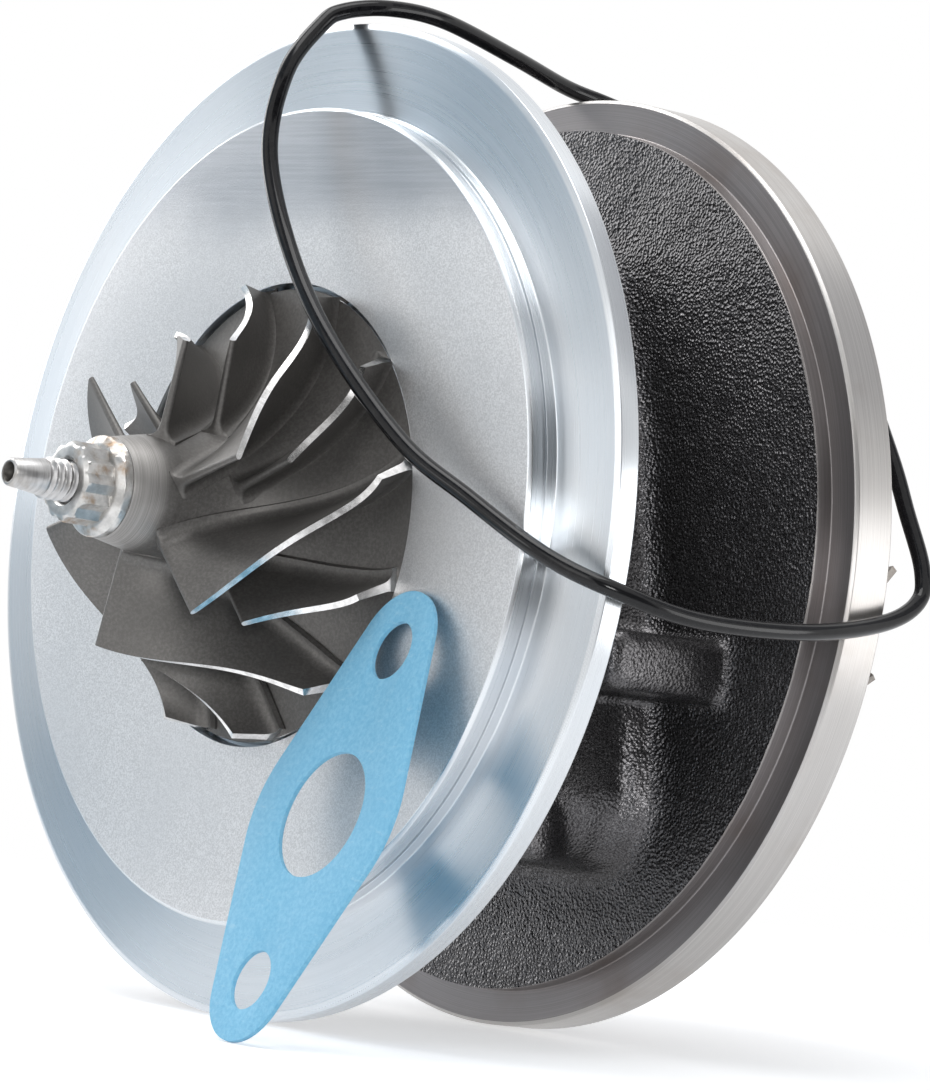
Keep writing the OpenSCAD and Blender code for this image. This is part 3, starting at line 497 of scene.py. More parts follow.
def casting_blank():
    """Overlapping hulls of the casting: body, lug, drain foot, inlet boss, pad, flange and fillet."""
    # Corners (x, z, r) of the body's section, right half
    front = [(4, 32, 9), (8, 12, 14), (18, -35, 11)]
    rear = [(6, 36, 10), (10, 14, 16), (27, -35, 11)]
    body_front, foot_h, boss_r, pad_r, pad_back, blank_r, blank_back = 12, 9, 11.1, 46, 15, 69.5, 53
    lug_front, lug_top, lug_h, lug_r, lug_reach = 22.5, -10.5, 9, 3, 51
    fillet, fillet_steps, overlap = 4.0, 8, 0.05
    lug = [p for y in (lug_front + lug_r, CAST_FACE + lug_r)
           for z in (lug_top - lug_r, lug_top - lug_h + lug_r)
           for x in (0, lug_reach)
           for p in circle_x(y, z, lug_r, x)]
    foot = [p for z in (DRAIN_Z, DRAIN_Z + foot_h)
            for x, r in ((0, DRAIN_MID_R), (DRAIN_HALF, DRAIN_END_R), (-DRAIN_HALF, DRAIN_END_R))
            for p in circle_z(x, PORT_Y, r, z)]
    parts = [
        hull_mesh(corners(front, 0, body_front) + corners(rear, 0, CAST_FACE + 3)),
        hull_mesh(lug),
        hull_mesh(foot),
        hull_mesh(circle_z(0, PORT_Y, boss_r, 0) + circle_z(0, PORT_Y, boss_r, INLET_Z)),
        hull_mesh(circle_y(0, 0, pad_r, JOINT_Y, 128) + circle_y(0, 0, pad_r, pad_back, 128)),
        hull_mesh(circle_y(0, 0, blank_r, CAST_FACE, 160) + circle_y(0, 0, blank_r, blank_back, 160)),
    ]
    turns = [math.radians(90 * k / fillet_steps) for k in range(fillet_steps + 1)]
    steps = [(fillet * (1 - math.cos(t)), CAST_FACE - fillet * (1 - math.sin(t))) for t in turns]
    for (grow, y), (next_grow, next_y) in zip(steps, steps[1:]):
        parts.append(hull_mesh(corners(rear, grow, y) + corners(rear, next_grow, next_y + overlap)))
    pts, faces, _ = join_data(*parts)
    return mesh_object("housing_casting", pts, faces, [CAST])


def swollen(ob, passes):
    """Smooths a mesh and gives it the uneven swell of a sand casting."""
    bm = bmesh.new()
    bm.from_mesh(ob.data)
    for _ in range(passes):
        bmesh.ops.smooth_vert(bm, verts=bm.verts, factor=0.5,
                              use_axis_x=True, use_axis_y=True, use_axis_z=True)
    bm.normal_update()
    for v in bm.verts:
        q = v.co * 1000
        swell = noise.noise(q * 0.09) * 0.22 + noise.noise(q * 0.35 + Vector((7, 3, 1))) * 0.10
        swell += noise.noise(q * 1.3 + Vector((2, 9, 4))) * 0.04
        v.co += v.normal * swell * MM
    bm.to_mesh(ob.data)
    bm.free()


def machined(ob):
    """Cuts the flange's turned edge, the shaft's room, the drain, its taps, the inlet and its oil way."""
    edge_r, room_r, tap_r, thread_r, way_r = CAST_R - 0.05, 20.9, 3.4, 5.1, 2.2
    edge_front, edge_back, beyond, room_front, room_back = 43.5, 60, 95, 7, 50.5
    ring = [(edge_r, edge_front), (beyond, edge_front), (beyond, edge_back), (edge_r, edge_back)]
    room = [(0, room_front), (room_r, room_front), (room_r, room_back), (0, room_back)]
    cuts = [(*lathe_data(ring, 256), 0), (*lathe_data(room, 96), 0)]
    below = DRAIN_Z - 2
    bores = [(0, DRAIN_R, below, -24), (DRAIN_HALF, tap_r, below, -31), (-DRAIN_HALF, tap_r, below, -31),
             (0, thread_r, INLET_Z - 14, INLET_Z + 2), (0, way_r, 15, INLET_Z - 13)]
    for x, r, low, high in bores:
        cuts.append(hull_mesh(circle_z(x, PORT_Y, r, low) + circle_z(x, PORT_Y, r, high)))
    cutters = []
    for pts, faces, _ in cuts:
        cutter = mesh_object("cut", pts, faces, [IRON])
        cutters.append(cutter)
        cut = ob.modifiers.new("cut", "BOOLEAN")
        cut.operation, cut.object, cut.solver, cut.material_mode = "DIFFERENCE", cutter, "EXACT", "TRANSFER"
    applied(ob)
    for cutter in cutters:
        me = cutter.data
        bpy.data.objects.remove(cutter)
        bpy.data.meshes.remove(me)


def without_slivers(ob):
    """Closes slivers along the cuts, and drops triangles folded flat on each other."""
    bm = bmesh.new()
    bm.from_mesh(ob.data)
    bmesh.ops.remove_doubles(bm, verts=bm.verts, dist=0.06 * MM)
    bmesh.ops.triangulate(bm, faces=bm.faces)
    bm.verts.index_update()
    pairs = {}
    for f in bm.faces:
        pairs.setdefault(frozenset(v.index for v in f.verts), []).append(f)
    folded = [f for same in pairs.values() if len(same) == 2 for f in same]
    bmesh.ops.delete(bm, geom=folded, context="FACES")
    bm.to_mesh(ob.data)
    bm.free()


def housing():
    """The casting, with its cuts, and the turned flange and register on its back."""
    voxel = 0.72
    ob = casting_blank()
    remesh = ob.modifiers.new("union", "REMESH")
    remesh.mode, remesh.voxel_size, remesh.use_smooth_shade = "VOXEL", voxel * MM, True
    applied(ob)
    swollen(ob, passes=14)
    machined(ob)
    without_slivers(ob)
    finish_mesh(ob.data, sharp=40)
    dress(ob, "housing", "housing_iron", "bearing_housing")
    core, hub_r, hub_back, bore, chamfer, near = 51.0, 14, 61, 9.15, 0.5, 0.02
    profile = [(21.5, core), (CAST_R - 0.45, core), (CAST_R - 0.45, CAST_FACE + 0.75),
               (CAST_R - 0.1, CAST_FACE + 0.2), (CAST_R, CAST_FACE + 0.35), (CAST_R, FLANGE_Y, 0.3),
               (FLANGE_R - chamfer, FLANGE_Y, 0.15), (FLANGE_R, FLANGE_Y + chamfer, 0.15),
               (FLANGE_R, FLANGE_BACK - chamfer, 0.15), (FLANGE_R - chamfer, FLANGE_BACK, 0.15),
               (REGISTER_R, FLANGE_BACK, 0.2), (REGISTER_R, REGISTER_BACK, 0.3), (62, REGISTER_BACK, 0.3),
               (60, REAR_FACE, 0.8), (19, REAR_FACE, 0.8), (16, 59, 0), (hub_r, hub_back, 0.3),
               (bore, hub_back, 0.15), (bore, core, 0.1)]
    pts, faces = lathe_data(soften(profile, 0.05), 360)
    spans = [[pts[v][1] for v in f] for f in faces]
    # The flange's flat front and back faces take the darker iron copy: painted shade.
    shaded_faces = [1 if max(ys) < FLANGE_Y + near or min(ys) > FLANGE_BACK - near else 0 for ys in spans]
    flange = mesh_object("turbine_flange_turned", pts, faces, [IRON, IRON_SHADED_FACE], shaded_faces, sharp=15)
    return ob, dress(flange, "housing", "housing_iron")


# Wheels
def mix(a, b, t):
    return a + (b - a) * t


def turn_law(t):
    """Share of a compressor blade's whole turn at a share of its length."""
    return 0.54 * (1 - (1 - t) ** 4) + 0.46 * t


def sweep(a, b, t):
    """A quarter of an ellipse from (r, y) a, along the shaft, to b, across it."""
    s, c = math.sin(math.pi / 2 * t), math.cos(math.pi / 2 * t)
    return mix(a[0], b[0], 1 - c), mix(a[1], b[1], s)


def around(ry, degrees):
    """The point at (r, y), at an angle about the shaft."""
    a = math.radians(degrees)
    return np.array((ry[0] * math.cos(a), ry[1], ry[0] * math.sin(a)))


def turned(p, degrees):
    """A point turned about the shaft, from X towards Z."""
    c, s = math.cos(math.radians(degrees)), math.sin(math.radians(degrees))
    p = np.asarray(p)
    return np.stack((p[..., 0] * c - p[..., 2] * s, p[..., 1], p[..., 0] * s + p[..., 2] * c), -1)


def blade(roots, tips, root_t, tip_t, fillet, sink, nose):
    """A filleted blade from root and tip lines: points, faces, and 1 on faces of its tip and outlet edges.

    Its foot is sunk into the hub, and its inlet edge is rounded over the length nose.
    """
    roots, tips = np.array(roots), np.array(tips)
    length = np.linalg.norm(tips - roots, axis=1)
    foot = [0.0, 0.06, 0.14, 0.25, 0.4, 0.6, 0.85, 1.0]
    rest = [0.2, 0.36, 0.52, 0.68, 0.84, 1.0]
    short_share, least_edge, flare_share = 0.3, 0.12, 0.8
    n, m = len(roots), 1 + len(foot) + len(rest)
    mid = np.zeros((n, m, 3))
    up = np.zeros((n, m))
    for i in range(n):
        start = min(fillet, short_share * length[i])
        up[i] = [-sink] + [h * start for h in foot] + [mix(start, length[i], h) for h in rest]
        mid[i] = [roots[i] + (tips[i] - roots[i]) * d / length[i] for d in up[i]]
    du = np.gradient(mid, axis=0)
    dv = np.gradient(mid, axis=1)
    normal = np.cross(du, dv)
    normal /= np.linalg.norm(normal, axis=2, keepdims=True)
    along = np.concatenate(([0], np.cumsum(np.linalg.norm(np.diff(mid[:, m // 2], axis=0), axis=1))))
    half = np.zeros((n, m))
    for i in range(n):
        start = min(fillet, short_share * length[i])
        edge = min(along[i] / nose, 1.0)
        edge = max(least_edge, math.sqrt(1 - (1 - edge) ** 2))
        for j in range(m):
            d = max(up[i, j], 0.0)
            flare = start - math.sqrt(max(start ** 2 - (start - d) ** 2, 0)) if d < start else 0.0
            half[i, j] = (mix(root_t, tip_t, d / length[i]) / 2) * edge + flare * edge * flare_share
    a, b = mid - normal * half[..., None], mid + normal * half[..., None]
    ring = np.concatenate((a, b[:, ::-1]), axis=1)
    k = 2 * m
    pts = ring.reshape(-1, 3)
    faces, mats = [], []
    for i in range(n - 1):
        for j in range(k):
            q = (j + 1) % k
            faces.append([i * k + j, i * k + q, (i + 1) * k + q, (i + 1) * k + j])
            mats.append(1 if j == m - 1 else 0)
    for i in (0, n - 1):
        for j in range(m - 1):
            faces.append([i * k + j, i * k + j + 1, i * k + k - 2 - j, i * k + k - 1 - j])
            mats.append(1 if i else 0)
    return pts, faces, mats


def compressor_wheel():
    """Hub and disc with six full and six splitter blades."""
    hub_r, shroud_r, blade_r, outlet_h = 8.8, 23.6, WHEEL_R - 0.15, 6.0
    bore, boss_r, boss_back = 3.18, 8.0, 0.5
    hub_a, hub_b = (hub_r, INLET_Y), (blade_r, DISC_FRONT)
    tip_a, tip_b = (shroud_r, INLET_Y), (blade_r, DISC_FRONT - outlet_h)
    hub_split, shroud_split = 0.25, 0.31
    shape = {"root_t": 1.44, "tip_t": 0.95, "fillet": 2.2, "sink": 0.8, "nose": 0.5}

    def hub(t):
        return around(sweep(hub_a, hub_b, t), -50.7 + 66 * turn_law(t))

    def shroud(t):
        return around(sweep(tip_a, tip_b, t), -45.6 + 56 * turn_law(t))

    steps = [0, 0.003, 0.007, 0.013, 0.02] + list(np.linspace(0.03, 1, 46))
    full = blade([hub(t) for t in steps], [shroud(t) for t in steps], **shape)
    split = blade([hub(mix(hub_split, 1, t)) for t in steps],
                  [shroud(mix(shroud_split, 1, t)) for t in steps], **shape)
    line = [sweep(hub_a, (WHEEL_R, DISC_FRONT), t) for t in np.linspace(0, 1, 49)]
    body = [(bore, NOSE_Y), (7.3, NOSE_Y), (7.6, NOSE_Y + 0.3)] + line[:-1]
    body += [(WHEEL_R - 0.1, DISC_FRONT), (WHEEL_R, DISC_FRONT + 0.1), (WHEEL_R, DISC_BACK - 0.15),
             (WHEEL_R - 0.15, DISC_BACK), (boss_r, DISC_BACK), (boss_r, boss_back), (bore, boss_back)]
    pts, faces = lathe_data(body, 240)
    rim_from = WHEEL_R - 0.12
    rim = [1 if min(math.hypot(pts[v][0], pts[v][2]) for v in f) > rim_from else 0 for f in faces]
    parts = [(pts, faces, rim)]
    for k in range(6):
        parts.append((turned(full[0], 60 * k), full[1], full[2]))
        parts.append((turned(split[0], 60 * k + 30), split[1], split[2]))
    pts, faces, mats = join_data(*parts)
    ob = mesh_object("compressor_wheel_cast", pts, faces, [WHEEL, EDGE], mats, sharp=38)
    return dress(ob, "rotor", "wheel_aluminium", "compressor_wheel")


def turbine_wheel():
    """Hub with ten blades and a hexagon end; the inlet edges run along the shaft."""
    hub_r, rim_r, tip_r, outlet_r, weld_r, weld = 8.5, 23.0, 31.5, 28.0, 9.0, 62.6
    inlet, inlet_w, inlet_share = TURBINE_Y + 0.6, 8, 0.25
    end, hexagon_r, hexagon_h = TURBINE_OUT + 1, 6, 4

    def hub(t):
        c, s = math.cos(math.pi / 2 * (1 - t)), math.sin(math.pi / 2 * (1 - t))
        return mix(hub_r, rim_r, 1 - c), mix(TURBINE_OUT, TURBINE_Y + 2.2, s)

    def tip(t):
        if t < inlet_share:
            return tip_r, inlet + inlet_w * t / inlet_share
        past = t - inlet_share
        r = mix(tip_r, outlet_r, math.sin(math.radians(120 * past)))
        return r, mix(inlet + inlet_w, TURBINE_OUT, past / (1 - inlet_share))

    def angle(t):
        return 13 - 38 * (1 - t * t)

    steps = list(np.linspace(0, inlet_share, 12)) + list(np.linspace(0.27, 1, 34))
    one = blade([around(hub(t), angle(t)) for t in steps], [around(tip(t), angle(t)) for t in steps],
                root_t=1.8, tip_t=1.1, fillet=2.4, sink=0.9, nose=0.5)
    outer = [hub(t) for t in np.linspace(0, 1, 40)]
    body = [(0, weld), (weld_r, weld), (weld_r, TURBINE_Y),
            (rim_r - 0.3, TURBINE_Y), (rim_r, TURBINE_Y + 0.3)]
    body += outer + [(6.6, end - 0.3), (6.0, end), (0, end)]
    parts = [(*lathe_data(body, 160), 0)]
    levels = ((0, 1.0), (hexagon_h - 0.5, 1.0), (hexagon_h, 0.9))
    parts.append(hull_mesh([(share * x, TURBINE_OUT + h, share * z) for h, share in levels
                            for x, z in circle(hexagon_r, 6)]))
    for k in range(10):
        parts.append((turned(one[0], 36 * k), one[1], 0))
    pts, faces, mats = join_data(*parts)
    ob = mesh_object("turbine_wheel_cast", pts, faces, [TURBINE], mats, sharp=38)
    return dress(ob, "rotor", "turbine_alloy", "turbine_wheel")


# Shaft and nut
def shaft():
    """Stepped shaft; the thread in front of the nut is a real helix."""
    nut_front, thread_front, tip, pitch = -41.7, -45.9, -51.5, 1.25
    crest, root, run_in, thread_fade, rows_per_pitch = 3.12, 2.52, 2.7, 0.6, 14
    stub, bush, relief, seal, groove = 3.15, 5.5, 5.1, 9, 7.7
    segments = 72
    turn = np.arange(segments) / segments
    nose = [(0, tip + 4), (1.4, tip + 2.6), (1.4, tip + 0.15), (1.55, tip), (1.75, tip), (2.05, tip + 0.3),
            (2.65, thread_front - 0.25), (run_in, thread_front)]
    rest = [(stub, -40.8), (stub, 16), (bush, 16), (bush, 28), (relief, 28.5), (relief, 36.5), (bush, 37),
            (bush, 48.6), (8, 48.6), (8, 50.6), (6.5, 51.2), (6.5, 52.9), (seal, 52.9), (seal, 56.95),
            (groove, 56.95), (groove, 58.55), (seal, 58.55), (seal, 62.6), (0, 62.6)]
    rows = [(np.full(segments, r), y) for r, y in nose]
    for y in np.arange(thread_front + 0.05, nut_front + 0.8, pitch / rows_per_pitch):
        phase = (y / pitch - turn) % 1.0
        wave = np.clip(np.abs(phase - 0.5) * 2.9 - 0.35, 0, 1)
        fade = min(1.0, (y - thread_front) / thread_fade)
        rows.append(((root + (crest - root) * wave) * fade + run_in * (1 - fade), y))
    rows += [(np.full(segments, r), y) for r, y in rest]
    angle = turn * 2 * math.pi
    pts, faces = [], []
    for r, y in rows:
        pts += list(zip(r * np.cos(angle), np.full(segments, y), r * np.sin(angle)))
    for i in range(len(rows) - 1):
        this, after = i * segments, (i + 1) * segments
        for k in range(segments):
            q = (k + 1) % segments
            faces.append([this + k, this + q, after + q, after + k])
    # The faces inside the drilled centre hole take the dark ring steel, so the hole is darker.
    drilled = [1 if i < 3 * segments else 0 for i in range(len(faces))]
    ob = mesh_object("shaft_turned", pts, faces, [SHAFT, RING], drilled, sharp=50)
    return dress(ob, "rotor", "shaft_steel", "rotor_shaft")


def nut():
    """Twelve-point nut: a double hexagon, chamfered, on a collar with two ground balance cuts."""
    seat, flange_t, height, across, flange_r, bore, whole = NOSE_Y, 2.3, 4.9, 10.4, 7.5, 3.2, 9.0
    half = across / 2
    base = seat - flange_t
    top = base - height
    corner = half / math.cos(math.radians(30))

    def star(a):
        """Radius of the double hexagon at an angle in degrees."""
        return max(half / math.cos(math.radians((a + s) % 60 - 30)) for s in (0, 30))

    angles = np.arange(0, 360, 1.25)
    n = len(angles)
    rows = []
    sections = [(base + 0.3, whole), (base - 0.5, whole), (base - 2.5, whole), (top + 1.1, whole),
                (top + 0.75, corner), (top + 0.4, corner - 0.25), (top + 0.1, half - 0.05),
                (top, half - 0.35)]
    for y, limit in sections:
        rows.append([(min(star(a), limit), y) for a in angles])
    rows += [[(r, y)] * n for r, y in ((bore + 0.5, top), (bore, top + 0.4), (bore, base + 0.3))]
    pts, faces = [], []
    for row in rows:
        pts += [tuple(around(ry, a)) for ry, a in zip(row, angles)]
    for i in range(len(rows)):
        j = (i + 1) % len(rows)
        for k in range(n):
            q = (k + 1) % n
            faces.append([i * n + k, i * n + q, j * n + q, j * n + k])
    collar = soften([(bore, seat), (flange_r - 0.1, seat), (flange_r, seat - 0.2),
                     (flange_r, seat - flange_t + 0.75, 0.25), (6.1, base, 0.4), (bore, base)], 0.08)
    ring, ring_faces = lathe_data(collar, 320)
    out, forward = 0.8, 0.6
    for a, depth in ((-45, 6.35), (55, 6.2)):
        ground = np.array((out * math.cos(math.radians(a)), -forward, out * math.sin(math.radians(a))))
        level = forward * -base + out * depth
        ring = [np.asarray(q) - ground * max(0.0, float(np.dot(q, ground)) - level) for q in ring]
    pts, faces, mats = join_data((pts, faces, 0), (ring, ring_faces, 0))
    ob = mesh_object("nut_twelve_point", pts, faces, [NUT], mats, sharp=24)
    return dress(ob, "rotor", "nut_steel", "shaft_nut")


# Loose ring and gasket
def cover_ring():
    """Round cord moulded into a ring, along a smooth closed line through (angle, r, y) knots."""
    p, land, wheel, f, fy, fb = PLATE_R, LAND_R, WHEEL_R, FLANGE_R, FLANGE_Y, FLANGE_BACK
    out, cord_r, inside = 1.75, 1.25, (30.0, 20.0, 35.0)
    table = [(92, p + out, -1), (92.5, p - 1, -4.5), (92.5, land + 4.5, -LAND_H - 5),
             (91, land - 8, -LAND_H - 7.5), (78.5, wheel + 5.5, -LAND_H - 8),
             (48.5, wheel - 0.5, -LAND_H - 9), (16, wheel + 7, -LAND_H - 7), (4.5, land - 8, -LAND_H - 4.5),
             (-2.5, land + 7, -LAND_H - 1.5), (-5, p + out + 1.5, -0.4), (-6.5, p + 6, 13),
             (-6, f + 7.5, fy - 14), (-4, f + 3.5, fy + 3.5),
             (-1, f + 1, fb + 5), (3, f - 0.8, fb + 7), (10.5, f - 4.8, fb + 7), (18.5, f - 7.2, fb + 6.5),
             (35, f - 10, fb + 6), (53.5, f - 10, fb + 6), (73, f - 7, fb + 6), (86, f - 4, fb + 6.2),
             (94, f - 0.5, fb + 5.2), (97.5, f + 1.8, fb + 1.5), (97.5, f + 2.9, fy + 1),
             (94.5, f + 4.6, fy - 13), (91, p + 3.6, 17), (90.5, p + 3.4, 6)]
    knots = [around((r, y), a) for a, r, y in table]
    n, steps, sides = len(knots), 14, 24
    line = []
    for i in range(n):
        a, b, c, d = (knots[(i + k) % n] for k in (-1, 0, 1, 2))
        for s in range(steps):
            u = s / steps
            bend, twist = 2 * a - 5 * b + 4 * c - d, 3 * b - a - 3 * c + d
            line.append(0.5 * (2 * b + (c - a) * u + bend * u ** 2 + twist * u ** 3))
    line = np.array(line)
    ahead = np.roll(line, -1, 0) - np.roll(line, 1, 0)
    ahead /= np.linalg.norm(ahead, axis=1, keepdims=True)
    away = line - np.array(inside)
    away -= ahead * np.sum(away * ahead, axis=1, keepdims=True)
    away /= np.linalg.norm(away, axis=1, keepdims=True)
    side = np.cross(ahead, away)
    pts, faces = [], []
    count = len(line)
    for i in range(count):
        for k in range(sides):
            a = 2 * math.pi * k / sides
            pts.append(line[i] + cord_r * (math.cos(a) * away[i] + math.sin(a) * side[i]))
            q, j = (k + 1) % sides, (i + 1) % count
            faces.append([i * sides + k, j * sides + k, j * sides + q, i * sides + q])
    ob = mesh_object("cover_ring_rubber", pts, faces, [RUBBER], sharp=80)
    return dress(ob, "cover_ring", "black_rubber", "cover_seal_ring")


def gasket():
    """Flat fibre gasket with cut edges, in its leaning place."""
    curve = bpy.data.curves.new("gasket_outline", "CURVE")
    curve.dimensions, curve.fill_mode = "2D", "BOTH"
    rounding, arc_steps, hole_steps = 0.06, 40, 72
    curve.extrude = (GASKET_T / 2 - rounding) * MM
    curve.bevel_depth, curve.bevel_resolution = rounding * MM, 2
    flank = math.degrees(math.asin((DRAIN_MID_R - DRAIN_END_R) / DRAIN_HALF))
    outline = []
    arcs = [(DRAIN_HALF, DRAIN_END_R, flank - 90, 90 - flank), (0, DRAIN_MID_R, 90 - flank, 90 + flank),
            (-DRAIN_HALF, DRAIN_END_R, 90 + flank, 270 - flank), (0, DRAIN_MID_R, 270 - flank, 270 + flank)]
    for x, r, a0, a1 in arcs:
        for k in range(arc_steps + 1):
            a = math.radians(mix(a0, a1, k / arc_steps))
            outline.append((x + (r - rounding) * math.cos(a), (r - rounding) * math.sin(a)))
    holes = ((0, DRAIN_R), (DRAIN_HALF, GASKET_HOLE_R), (-DRAIN_HALF, GASKET_HOLE_R))
    loops = [outline] + [[(x + a, b) for a, b in circle(r + rounding, hole_steps)] for x, r in holes]
    for loop in loops:
        spline = curve.splines.new("POLY")
        spline.points.add(len(loop) - 1)
        for point, (x, y) in zip(spline.points, loop):
            point.co = (x * MM, y * MM, 0, 1)
        spline.use_cyclic_u = True
    holder = bpy.data.objects.new("gasket_outline", curve)
    bpy.context.scene.collection.objects.link(holder)
    bpy.context.view_layer.update()
    me = bpy.data.meshes.new_from_object(holder.evaluated_get(bpy.context.evaluated_depsgraph_get()))
    bpy.data.objects.remove(holder)
    bpy.data.curves.remove(curve)
    lean, yaw, roll = (math.radians(a) for a in GASKET_TURN)
    place = Matrix.Translation(Vector(GASKET_POSE) * MM)
    quarter = math.pi / 2
    for angle, axis in ((yaw, "Z"), (-lean, "X"), (roll, "Y"), (-quarter, "Y"), (quarter, "X")):
        place = place @ Matrix.Rotation(angle, 4, axis)
    me.transform(place)
    bm = bmesh.new()
    bm.from_mesh(me)
    bmesh.ops.remove_doubles(bm, verts=bm.verts, dist=1e-6)
    bmesh.ops.recalc_face_normals(bm, faces=bm.faces)
    bm.to_mesh(me)
    bm.free()
    me.name = "gasket_fibre_sheet"
    me.materials.clear()
    me.materials.append(FIBRE)
    finish_mesh(me, sharp=40)
    ob = bpy.data.objects.new("gasket_fibre_sheet", me)
    bpy.context.scene.collection.objects.link(ob)
    return dress(ob, "gasket", "gasket_fibre", "drain_gasket")


def heat_shield():
    """Pressed sheet cup behind the turbine wheel."""
    front, t, wall, out, hole = 61.4, 0.8, 29.0, 39.0, 10.0
    seat, back = REAR_FACE + 0.02, REAR_FACE + t
    profile = [(hole, front, 0.1), (wall - t, front, 1.2), (wall, seat, 0.9), (out, seat, 0.1),
               (out, back, 0.1), (wall + t, back, 0.6), (wall, front + t, 1.8), (hole, front + t, 0.1)]
    pts, faces = lathe_data(soften(profile, 0.1), 200)
    ob = mesh_object("heat_shield_pressed", pts, faces, [SHEET])
    return dress(ob, "housing", "sheet_steel", "heat_shield")


backplate()
housing()
compressor_wheel()
turbine_wheel()
shaft()
nut()
cover_ring()
gasket()
heat_shield()

# CAD nodes that keep their shape
KEPT = {"seal_sleeve": SHAFT, "compressor_seal_ring": RING, "thrust_collar": SHAFT, "thrust_bearing": BRONZE,
        "thrust_pins": PIN, "oil_deflector": SHEET, "compressor_bush": BRONZE, "turbine_bush": BRONZE,
        "bearing_spacer": SHAFT, "snap_rings": RING, "turbine_seal_ring": RING, "backplate_screws": SCREW,
        "backplate_washers": SCREW, "backplate_seal": RUBBER, "turbine_dowel": PIN}
for node, material in KEPT.items():
    me = frame["nodes"][node].data
    me.materials.clear()
    me.materials.append(material)


# Floor, light, camera
def floor():
    """Pale floor that touches both rims; it fades into the white background."""
    radius, clear_of_rim, fade_from, fade_to, glow_strength = 1.6, 0.02, 0.16, 0.42, 0.46
    tilt = math.atan((PLATE_R - FLANGE_R) / (FLANGE_BACK - PLATE_RIM))
    bpy.ops.mesh.primitive_circle_add(vertices=96, radius=radius, fill_type="NGON")
    ob = bpy.context.object
    ob.name = "studio_floor"
    ob.rotation_euler = (tilt, 0, 0)
    ob.location = (0, PLATE_RIM * MM, -(PLATE_R + clear_of_rim) * MM)
    p = Paint("studio_floor", 0.0, 0.9)
    tree = p.tree
    tree.nodes.remove(p.shader)
    out = tree.nodes["Material Output"]
    diffuse = p.add("ShaderNodeBsdfDiffuse", (0.80, 0.81, 0.825, 1.0))
    glow = p.add("ShaderNodeEmission", (1, 1, 1, 1), glow_strength)
    path = p.add("ShaderNodeLightPath")
    seen = p.math("MAXIMUM", path.outputs["Is Camera Ray"], path.outputs["Is Glossy Ray"])
    clear = p.add("ShaderNodeBsdfTransparent")
    lit = p.add("ShaderNodeAddShader", diffuse.outputs[0], glow.outputs[0])
    both = p.add("ShaderNodeMixShader", seen, diffuse.outputs[0], lit.outputs[0])
    x, y, _ = p.add("ShaderNodeSeparateXYZ", p.place).outputs
    far = p.math("SQRT", p.math("ADD", p.math("MULTIPLY", x, x), p.math("MULTIPLY", y, y)))
    grain = p.noise(900, 3.0, 0.6)
    far = p.math("ADD", far, p.math("MULTIPLY", grain, 0.01))
    behind = p.add("ShaderNodeNewGeometry").outputs["Backfacing"]
    fade = p.math("MAXIMUM", p.span(far, fade_from, fade_to), behind)
    shader = p.add("ShaderNodeMixShader", fade, both.outputs[0], clear.outputs[0])
    tree.links.new(shader.outputs[0], out.inputs["Surface"])
    ob.data.materials.append(p.material)


def card(name, place, aim, width, height, tilt, tone):
    """Studio card that shows in reflections alone, tilted in its plane; clear from behind."""
    half, tall = width / 2, height / 2
    me = bpy.data.meshes.new(name)
    outline = [(-half, -tall, 0), (half, -tall, 0), (half, tall, 0), (-half, tall, 0)]
    me.from_pydata(outline, [], [(0, 1, 2, 3)])
    ob = bpy.data.objects.new(name, me)
    bpy.context.scene.collection.objects.link(ob)
    ob.location = place
    ob.visible_camera, ob.visible_diffuse, ob.visible_shadow = False, False, False
    facing = (Vector(aim) - Vector(place)).to_track_quat("Z", "Y").to_matrix()
    ob.rotation_euler = (facing @ Matrix.Rotation(math.radians(tilt), 3, "Z")).to_euler()
    p = Paint(name, 0.0, 0.9)
    weave = p.noise(6, 3.0, 0.5)
    low, high = tuple(0.92 * c for c in tone), tuple(1.08 * c for c in tone)
    paper = p.add("ShaderNodeBsdfDiffuse", p.blend(weave, low, high))
    clear = p.add("ShaderNodeBsdfTransparent")
    behind = p.add("ShaderNodeNewGeometry").outputs["Backfacing"]
    both = p.add("ShaderNodeMixShader", behind, paper.outputs[0], clear.outputs[0])
    p.tree.nodes.remove(p.shader)
    p.tree.links.new(both.outputs[0], p.tree.nodes["Material Output"].inputs["Surface"])
    me.materials.append(p.material)


def lamp(name, place, aim, size, power):
    """Square white softbox."""
    light = bpy.data.lights.new(name, "AREA")
    light.shape = "SQUARE"
    light.size, light.energy = size, power
    ob = bpy.data.objects.new(name, light)
    bpy.context.scene.collection.objects.link(ob)
    ob.location = place
    ob.rotation_euler = (Vector(aim) - Vector(place)).to_track_quat("-Z", "Y").to_euler()


def world():
    """White to the camera and in reflections, soft and slightly cool as light."""
    w = bpy.data.worlds.new("studio")
    bpy.context.scene.world = w
    w.use_nodes = True
    tree = w.node_tree
    tree.nodes.clear()
    out = tree.nodes.new("ShaderNodeOutputWorld")
    path = tree.nodes.new("ShaderNodeLightPath")
    both = tree.nodes.new("ShaderNodeMixShader")
    seen = path.outputs["Is Camera Ray"]
    for ray in ("Is Glossy Ray", "Is Transmission Ray"):
        either = tree.nodes.new("ShaderNodeMath")
        either.operation = "MAXIMUM"
        tree.links.new(seen, either.inputs[0])
        tree.links.new(path.outputs[ray], either.inputs[1])
        seen = either.outputs[0]
    tree.links.new(seen, both.inputs[0])
    for socket, colour, strength in ((1, (0.95, 0.97, 1.0, 1), 0.45), (2, (1, 1, 1, 1), 1.0)):
        light = tree.nodes.new("ShaderNodeBackground")
        light.inputs["Color"].default_value = colour
        light.inputs["Strength"].default_value = strength
        tree.links.new(light.outputs[0], both.inputs[socket])
    tree.links.new(both.outputs[0], out.inputs["Surface"])


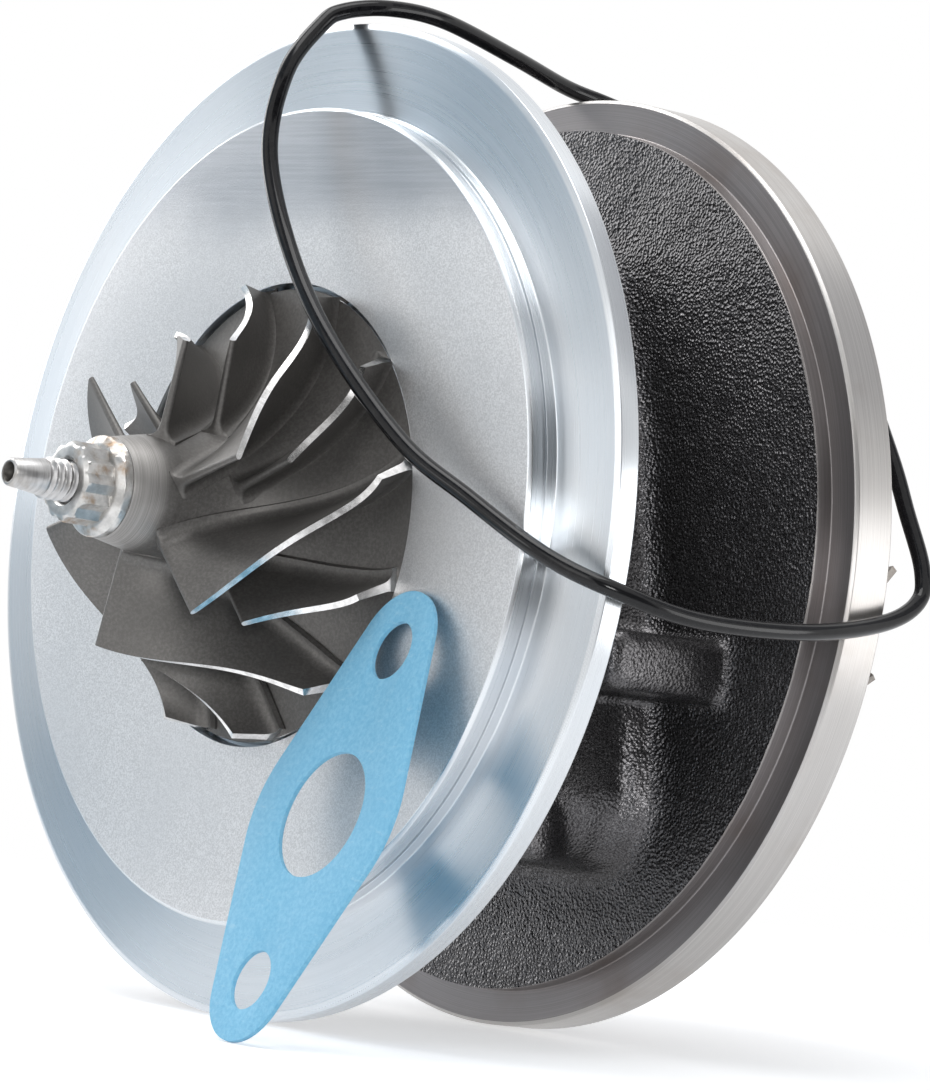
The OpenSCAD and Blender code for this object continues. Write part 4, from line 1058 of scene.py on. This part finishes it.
def camera():
    """The photograph's camera, worked out from the round edges of the plate, its land and the flange."""
    focal_px, frame_px, sensor = 5781.52, 1090, 36.0
    place = Vector((0.69391667, -0.51383287, -0.03782617))
    data = bpy.data.cameras.new("photo_camera")
    data.sensor_width, data.lens = sensor, focal_px * sensor / frame_px
    data.clip_start, data.clip_end = 0.05, 20
    ob = bpy.data.objects.new("photo_camera", data)
    bpy.context.scene.collection.objects.link(ob)
    right = Vector((0.61823258, 0.775065, 0.13062433))
    up = Vector((-0.04733846, -0.12917128, 0.99049172))
    back = Vector((0.78456838, -0.61853781, -0.04316751))
    turn = Matrix((right, up, back)).transposed().to_4x4()
    ob.matrix_world = Matrix.Translation(place) @ turn
    bpy.context.scene.camera = ob


floor()
card("blue_grey_card", (-0.30, -0.235, 0.06), (0, 0, 0.06), 0.17, 0.62, 22, (0.48, 0.58, 0.66))
card("floor_card", (-0.29, -0.15, -0.077), (-0.29, -0.15, 1), 0.38, 0.30, 0, (0.42, 0.53, 0.62))
card("dark_card", (1.05, -0.66, 0.0), (0, 0, 0), 1.2, 1.7, 0, (0.05, 0.05, 0.05))
card("right_dark_card", (1.15, -0.04, 0.0), (0, 0.03, 0), 0.8, 1.3, 0, (0.04, 0.04, 0.04))
card("top_front_card", (0.02, -0.56, 0.70), (0, 0, 0), 0.8, 0.34, 0, (0.42, 0.46, 0.50))
card("rim_card", (0.37, 0.62, 0.69), (0, 0, 0), 0.62, 0.55, -41, (0.50, 0.50, 0.52))
lamp("top_softbox", (0.08, -0.20, 0.86), (0, 0.02, 0), 0.6, 3.8)
lamp("top_left_softbox", (-0.76, -0.22, 0.74), (0, 0.02, 0), 0.5, 3.4)
lamp("left_softbox", (-1.07, -0.17, 0.26), (0, 0, 0), 0.45, 2.2)
lamp("camera_side_softbox", (0.86, -0.58, 0.07), (0.03, 0.035, -0.02), 0.24, 2.3)
lamp("right_back_softbox", (0.80, 0.66, 0.0), (0.04, 0.02, 0), 0.55, 2.6)
lamp("low_front_softbox", (-0.34, -0.93, 0.13), (0, 0, 0), 0.2, 0.32)
lamp("front_softbox", (0.25, -1.0, 0.30), (0, 0, 0), 0.5, 1.0)
world()
camera()
bpy.context.scene.view_settings.view_transform = "Standard"
